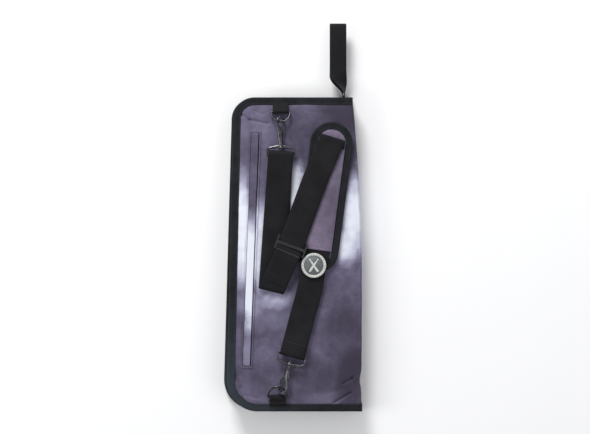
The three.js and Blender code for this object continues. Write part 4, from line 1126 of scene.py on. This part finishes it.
BAR_REACH = 3.5                                         # from a hook's bar to the middle of the webbing
up_way, up_span = unit(FOLD, RINGS["upper"]["hook"])
out_way, out_span = unit(FOLD, SLIDER)
hook_level = RINGS["upper"]["hook"][2]
upper = course(FOLD, up_way, (FOLD_REACH, LOWER_PLY), (60, LOWER_PLY), (up_span - 70, LOWER_PLY),
               (up_span - 40, LOWER_PLY + 1.2), (up_span - 14, LOWER_PLY + 3.9))
upper += round_bar(FOLD, up_way, up_span, hook_level, -1, LOOP_SLACK)
upper += course(FOLD, up_way, (up_span - 14, SECOND_PLY + 7.0), (up_span - 40, SECOND_PLY + 2.5),
                (up_span - 70, SECOND_PLY), (60, SECOND_PLY), (FOLD_REACH, SECOND_PLY))
upper_folds = [folded(FOLD, -up_way, out_way, low, (high - low) / 2)
               for low, high in ((LOWER_PLY, SEWN_PLY), (SECOND_PLY, FOLD_PLY))]
piece("strap_upper_web", together(ply(upper), *upper_folds), "cover", webbing, ["strap_upper_run"])

top_in, _ = unit(PAD_RUN[1], TOP_FOLD)
top_out, _ = unit(TOP_FOLD, UNDER_TOP)
pad_run = course(FOLD, out_way, (FOLD_REACH, FOLD_PLY), (0.45 * out_span, FOLD_PLY + 3.6),
                 (0.8 * out_span, TOP_RUN))
pad_run += [(*p, TOP_RUN) for p in (SLIDER, *PAD_RUN)] + course(TOP_FOLD, top_in, (-FOLD_REACH, TOP_RUN))
pad_fold = folded(TOP_FOLD, top_in, top_out, TOP_RUN, (TOP_RUN - SLEEVE_PLY) / 2, -1.0)
piece("strap_pad_web", together(ply(pad_run), pad_fold), "cover", webbing, ["strap_pad_run"])

sewn = course(FOLD, out_way, (FOLD_REACH, SEWN_PLY), (0.45 * out_span, SEWN_PLY + 3.65),
              (0.8 * out_span, TOP_RUN + 1.8), (out_span - 3.8, TOP_RUN + 1.8))
sewn_piece = piece("strap_sewn_web", ply(sewn), None, webbing, ["strap_sewn_end"])
seam = cross_seam(FOLD, out_way, out_span - 11.0, TOP_RUN + 2.62, 17.5,
                  length=1.7, gap=1.1, width=0.75, height=0.4)
sewn_thread = piece("strap_sewn_stitches", seam, None, thread_grey)
for obj in (sewn_piece, sewn_thread):
    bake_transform(obj)

down_way, down_span = unit(BEND, RINGS["lower"]["hook"])
lower = course(TOP_FOLD, top_out, (FOLD_REACH, SLEEVE_PLY))
lower += [(*UNDER_TOP, SLEEVE_PLY), (*PAD_HEM, SLEEVE_PLY), (*BADGE, SLEEVE_PLY), (*BEND, 46.35)]
lower += course(BEND, down_way, (down_span - 60, 46.6), (down_span - 38, 47.95), (down_span - 14, 51.4))
lower += round_bar(BEND, down_way, down_span, RINGS["lower"]["hook"][2], 1)
lower += course(BEND, down_way, (down_span - 12, 45.75), (down_span - 36, 45.6))
piece("strap_lower_web", ply(lower), "cover", webbing, ["strap_lower_run"])
seam = cross_seam(BEND, down_way, down_span - 17.0, 51.72, 15.5, length=1.7, gap=1.1, width=0.75, height=0.5)
piece("strap_lower_stitches", seam, "cover", thread_black)
cad_finish("strap_slider", slider_acetal, 0.5)

# ---------------------------------------------------------------- shoulder pad

PAD_TOP, PAD_SPREAD, PAD_RADIUS, PAD_EDGE = (59.3, 402.4), 162.0, 26.75, 5.25
PAD_UNDERSIDE, PAD_BINDING_LEVEL, PAD_THREAD_LEVEL = 40.35, 43.25, 46.15
SLEEVE_LEVEL, SLEEVE_HEM_LEVEL = 48.0, 49.42
pad_way = np.array([-0.1305, -0.9914])
pad_side = np.array([-pad_way[1], pad_way[0]])
PAD_FOOT = at(PAD_TOP, pad_way, PAD_SPREAD, 0.0)[:2]


def capsule(radius, step, level):
    """Points round the pad's outline, the first at the middle of one long side."""
    points = []
    for middle, sign in ((PAD_TOP, -1), (PAD_FOOT, 1)):
        for t in np.linspace(0, math.pi, 25):
            d = pad_side * math.cos(t) * -sign + pad_way * sign * math.sin(t)
            points.append((middle[0] + d[0] * radius, middle[1] + d[1] * radius, level))
    return evenly(points, step, closed=True)


def pad_grid(level, radius, columns, rows):
    grid = np.zeros((rows, columns, 3))
    for r, s in enumerate(np.linspace(-radius, PAD_SPREAD + radius, rows)):
        beyond = max(-s, s - PAD_SPREAD, 0.0)
        half = math.sqrt(max(radius ** 2 - beyond ** 2, (0.12 * radius) ** 2))
        for c, a in enumerate(np.linspace(-half, half, columns)):
            x, y, _ = at(PAD_TOP, pad_way, s, 0)
            rim = min(half - abs(a), radius - beyond)
            grid[r, c] = (x + pad_side[0] * a, y + pad_side[1] * a, level(a, s, rim))
    return grid


def base_level(a, s, rim):
    return 44.9 + 1.4 * (1 - math.exp(-rim / 4)) + 0.15 * ripple(a / 9, s / 12, 0)


base_top = pad_grid(base_level, 21.6, 26, 96)
pad_base = piece("pad_base_cloth", slab(base_top, levelled(base_top, PAD_UNDERSIDE)), "cover",
                 printed_pad, ["pad_base"])
puffed(pad_base, 0.4, 46.5)


def pad_binding_section(share, run):
    pull = 0.15 * ripple(run / 14, 3.0, 0.0)
    top = [(a, 2.75 + 0.45 * abs(math.sin((a + 5.4) / 10.4 * math.pi * 2)) + pull)
           for a in np.linspace(-4.9, 4.4, 13)]
    return top + [(5.1, 1.9), (5.25, 0.4), (5.1, -1.4), (4.4, -2.5), (0.0, -2.8), (-4.4, -2.7), (-5.2, -2.2),
                  (-5.25, 1.9)]


pad_tape = sweep(capsule(PAD_RADIUS, 1.4, PAD_BINDING_LEVEL), pad_binding_section, closed=True)
piece("pad_binding_tape", pad_tape, "cover", binding_cloth, ["pad_binding"])
pad_seam = capsule(PAD_RADIUS - PAD_EDGE + 1.4, 1.5, PAD_THREAD_LEVEL)
pad_thread = stitches(np.vstack([pad_seam, pad_seam[:1]]), length=2.4, gap=1.2, width=0.7, height=0.5)
piece("pad_binding_stitches", pad_thread, "cover", thread_black)


def sleeve_section(share, run):
    """A flattened tube of cloth round the strap, fuller along its edges."""
    sag = 0.12 * ripple(run / 16, 2.0, 0.0)
    half = 21.0 + 0.25 * ripple(run / 22, 9.0, 0.0)
    top = [(a, 1.25 + 0.12 * math.cos(a / 21 * math.pi) + sag) for a in np.linspace(-20.0, 20.0, 15)]
    edge = [(half - 0.35, 0.85), (half, 0.0), (half - 0.35, -0.85)]
    under = [(a, -1.3) for a in np.linspace(20.0, -20.0, 9)]
    return np.array(top + edge + under + [(-x, z) for x, z in edge[::-1]])


# The sleeve's skin and, a little smaller, its hollow, joined to each other at both ends.
SLEEVE_FROM, SLEEVE_TO = 7.0, 161.0
sleeve_path = evenly(course(PAD_TOP, pad_way, (SLEEVE_FROM, SLEEVE_LEVEL), (SLEEVE_TO, SLEEVE_LEVEL)), 2.0)
skin = sweep(sleeve_path, sleeve_section, caps=False)
round_count, skin_count = len(sleeve_section(0, 0)), len(skin.points)
rings = skin.points.reshape(-1, round_count, 3)
middles = rings.mean(axis=1, keepdims=True)
hollow = Shape(middles + (rings - middles) * [0.983, 0.983, 0.72], [f[::-1] for f in skin.faces], skin.lay)
sleeve = together(skin, hollow)
for start in (0, skin_count - round_count):
    for k in range(round_count):
        a, b = start + k, start + (k + 1) % round_count
        sleeve.faces.append((a, b, skin_count + b, skin_count + a))
sleeve_piece = piece("pad_sleeve_cloth", sleeve, "cover", printed_pad, ["pad_sleeve"])
seam = cross_seam(PAD_TOP, pad_way, SLEEVE_TO - 5.0, SLEEVE_HEM_LEVEL, -19.5,
                  length=2.0, gap=0.9, width=0.5, height=0.22)
piece("pad_sleeve_stitches", seam, "cover", thread_grey)

# ---------------------------------------------------------------- badge

BADGE_RADIUS, TICKS = 18.5, 24
badge_at = seat(*BADGE, 0)
base = lathe([(0.0, 48.35), (17.2, 48.35), (17.9, 48.6), (18.1, 49.3), (17.7, 49.95), (0.0, 50.0)], 64)
rim_section = ((3.9, 50.1), (3.9, 51.1), (3.5, 51.5), (0.6, 51.55), (0.1, 51.2), (0.0, 50.6), (0.1, 50.1))
rim = lathe([(BADGE_RADIUS - inset, z) for inset, z in rim_section], 72, closed=True)
disc = lathe([(0.0, 50.1), (14.3, 50.1), (14.4, 50.5), (14.1, 50.8), (0.0, 50.85)], 64)
piece("badge_base_cast", base.moved(badge_at), "cover", badge_back, ["badge_base"])
piece("badge_rim_cast", rim.moved(badge_at), "cover", badge_light, ["badge_rim"])
piece("badge_disc_cast", disc.moved(badge_at), "cover", badge_dark, ["badge_disc"])
stick = tube([(0, -11.5, 0, 1.3, 0.35), (0, -11, 0, 1.6, 0.4), (0, 0, 0, 1.45, 0.4), (0, 7, 0, 1.05, 0.38),
              (0, 9.2, 0, 0.7, 0.3), (0, 10.2, 0, 1.3, 0.4), (0, 11.4, 0, 1.2, 0.4), (0, 11.9, 0, 0.5, 0.25)],
             step=0.4, sides=10)
marks = [stick.moved(seat(0, 0, z, turn)) for z, turn in ((51.15, 34.0), (51.0, -34.0))]
piece("badge_crossed_sticks", together(*marks).moved(badge_at), "cover", badge_light)
bar = tube([(BADGE_RADIUS - inset, 0, 0, 0.32, 0.2) for inset in (2.9, 1.2)], step=0.6, sides=8)
ticks = [bar.moved(seat(0, 0, 51.55, 360 * k / TICKS)) for k in range(TICKS)]
piece("badge_rim_ticks", together(*ticks).moved(badge_at), "cover", badge_dark)

# ---------------------------------------------------------------- handle

HANDLE = {"x": 78.0, "y": 474.0, "length": 110.4, "width": 25.0, "twist": 40.0, "shift": -8.5, "gap": 4.5}


def twisted(shape):
    """The flat loop twisted so that it stands edge-on where it is sewn to the bag."""
    points = []
    for x, y, z in shape.points:
        share = min(1.0, max(0.0, y / HANDLE["twist"]))
        turn = math.pi / 2 * (1 - share * share * (3 - 2 * share))
        c, s = math.cos(turn), math.sin(turn)
        points.append((HANDLE["x"] + x * c + z * s + HANDLE["shift"] * c, HANDLE["y"] + y,
                       MIDDLE + z * c - x * s))
    return Shape(points, shape.faces, shape.lay)


def handle_spread(y):
    return 0.95 + (HANDLE["gap"] - 0.95) * math.sin(math.pi / 2 * min(1.0, 1.8 * y / HANDLE["length"]))


end = HANDLE["length"] - HANDLE["gap"] - 0.75
side_run = [(0, y, handle_spread(max(0.0, y))) for y in np.linspace(-4.0, end, 30)]
turn_run = [(0, end + HANDLE["gap"] * math.sin(t), HANDLE["gap"] * math.cos(t))
            for t in np.linspace(0.15, math.pi - 0.15, 12)]
handle_path = spline(side_run + turn_run + [(x, y, -z) for x, y, z in side_run[::-1]], 1.4)
loop = twisted(sweep(handle_path, web(HANDLE["width"], WEB_THICK, 11)))
handle = piece("handle_web", loop, None, webbing, ["handle_loop"])
rows = [stitches(line(-11.0, y, 11.0, y, 1.82 * up), up=(0, 0, up), length=1.9, gap=0.9, width=0.6, height=0.3)
        for y in (6.0, 10.0) for up in (1, -1)]
handle_thread = piece("handle_stitches", twisted(together(*rows)), None, thread_grey)
for obj in (handle, handle_thread):
    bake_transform(obj)

# ---------------------------------------------------------------- floor and light

FLOOR_HALF, FLOOR_TOP = 4000.0, -0.6
floor_material = finish_of("studio_floor", mottled(on_part, "#f6f6f6", "#f8f8f8", 0.5), Roughness=0.9)
flat = np.array([[(x, y, FLOOR_TOP) for x in (-FLOOR_HALF, FLOOR_HALF)] for y in (-FLOOR_HALF, FLOOR_HALF)])
floor_shape = slab(flat, lowered(flat, 10.0))
floor_mesh = bpy.data.meshes.new("studio_floor")
floor_mesh.from_pydata([tuple(p) for p in floor_shape.points * MM], [], floor_shape.faces)
floor_mesh.materials.append(floor_material)
floor = bpy.data.objects.new("studio_floor", floor_mesh)
bpy.context.collection.objects.link(floor)

world = bpy.data.worlds.new("studio")
bpy.context.scene.world = world
world.use_nodes = True
world.node_tree.nodes["Background"].inputs["Color"].default_value = linear("#f4f5f8")
world.node_tree.nodes["Background"].inputs["Strength"].default_value = 0.5
for name, place, size, power in (("key", (-0.6, 2.2, 1.5), 0.9, 66.0), ("fill", (1.7, -0.9, 1.9), 1.5, 10.0),
                                 ("rim", (-1.9, -0.4, 1.4), 0.9, 12.0)):
    lamp = bpy.data.lights.new(name, "AREA")
    lamp.size, lamp.energy = size, power
    lamp_object = bpy.data.objects.new(name, lamp)
    lamp_object.location = place
    lamp_object.rotation_euler = Vector(place).to_track_quat("Z", "Y").to_euler()
    bpy.context.collection.objects.link(lamp_object)
bpy.context.scene.view_settings.view_transform = "Standard"
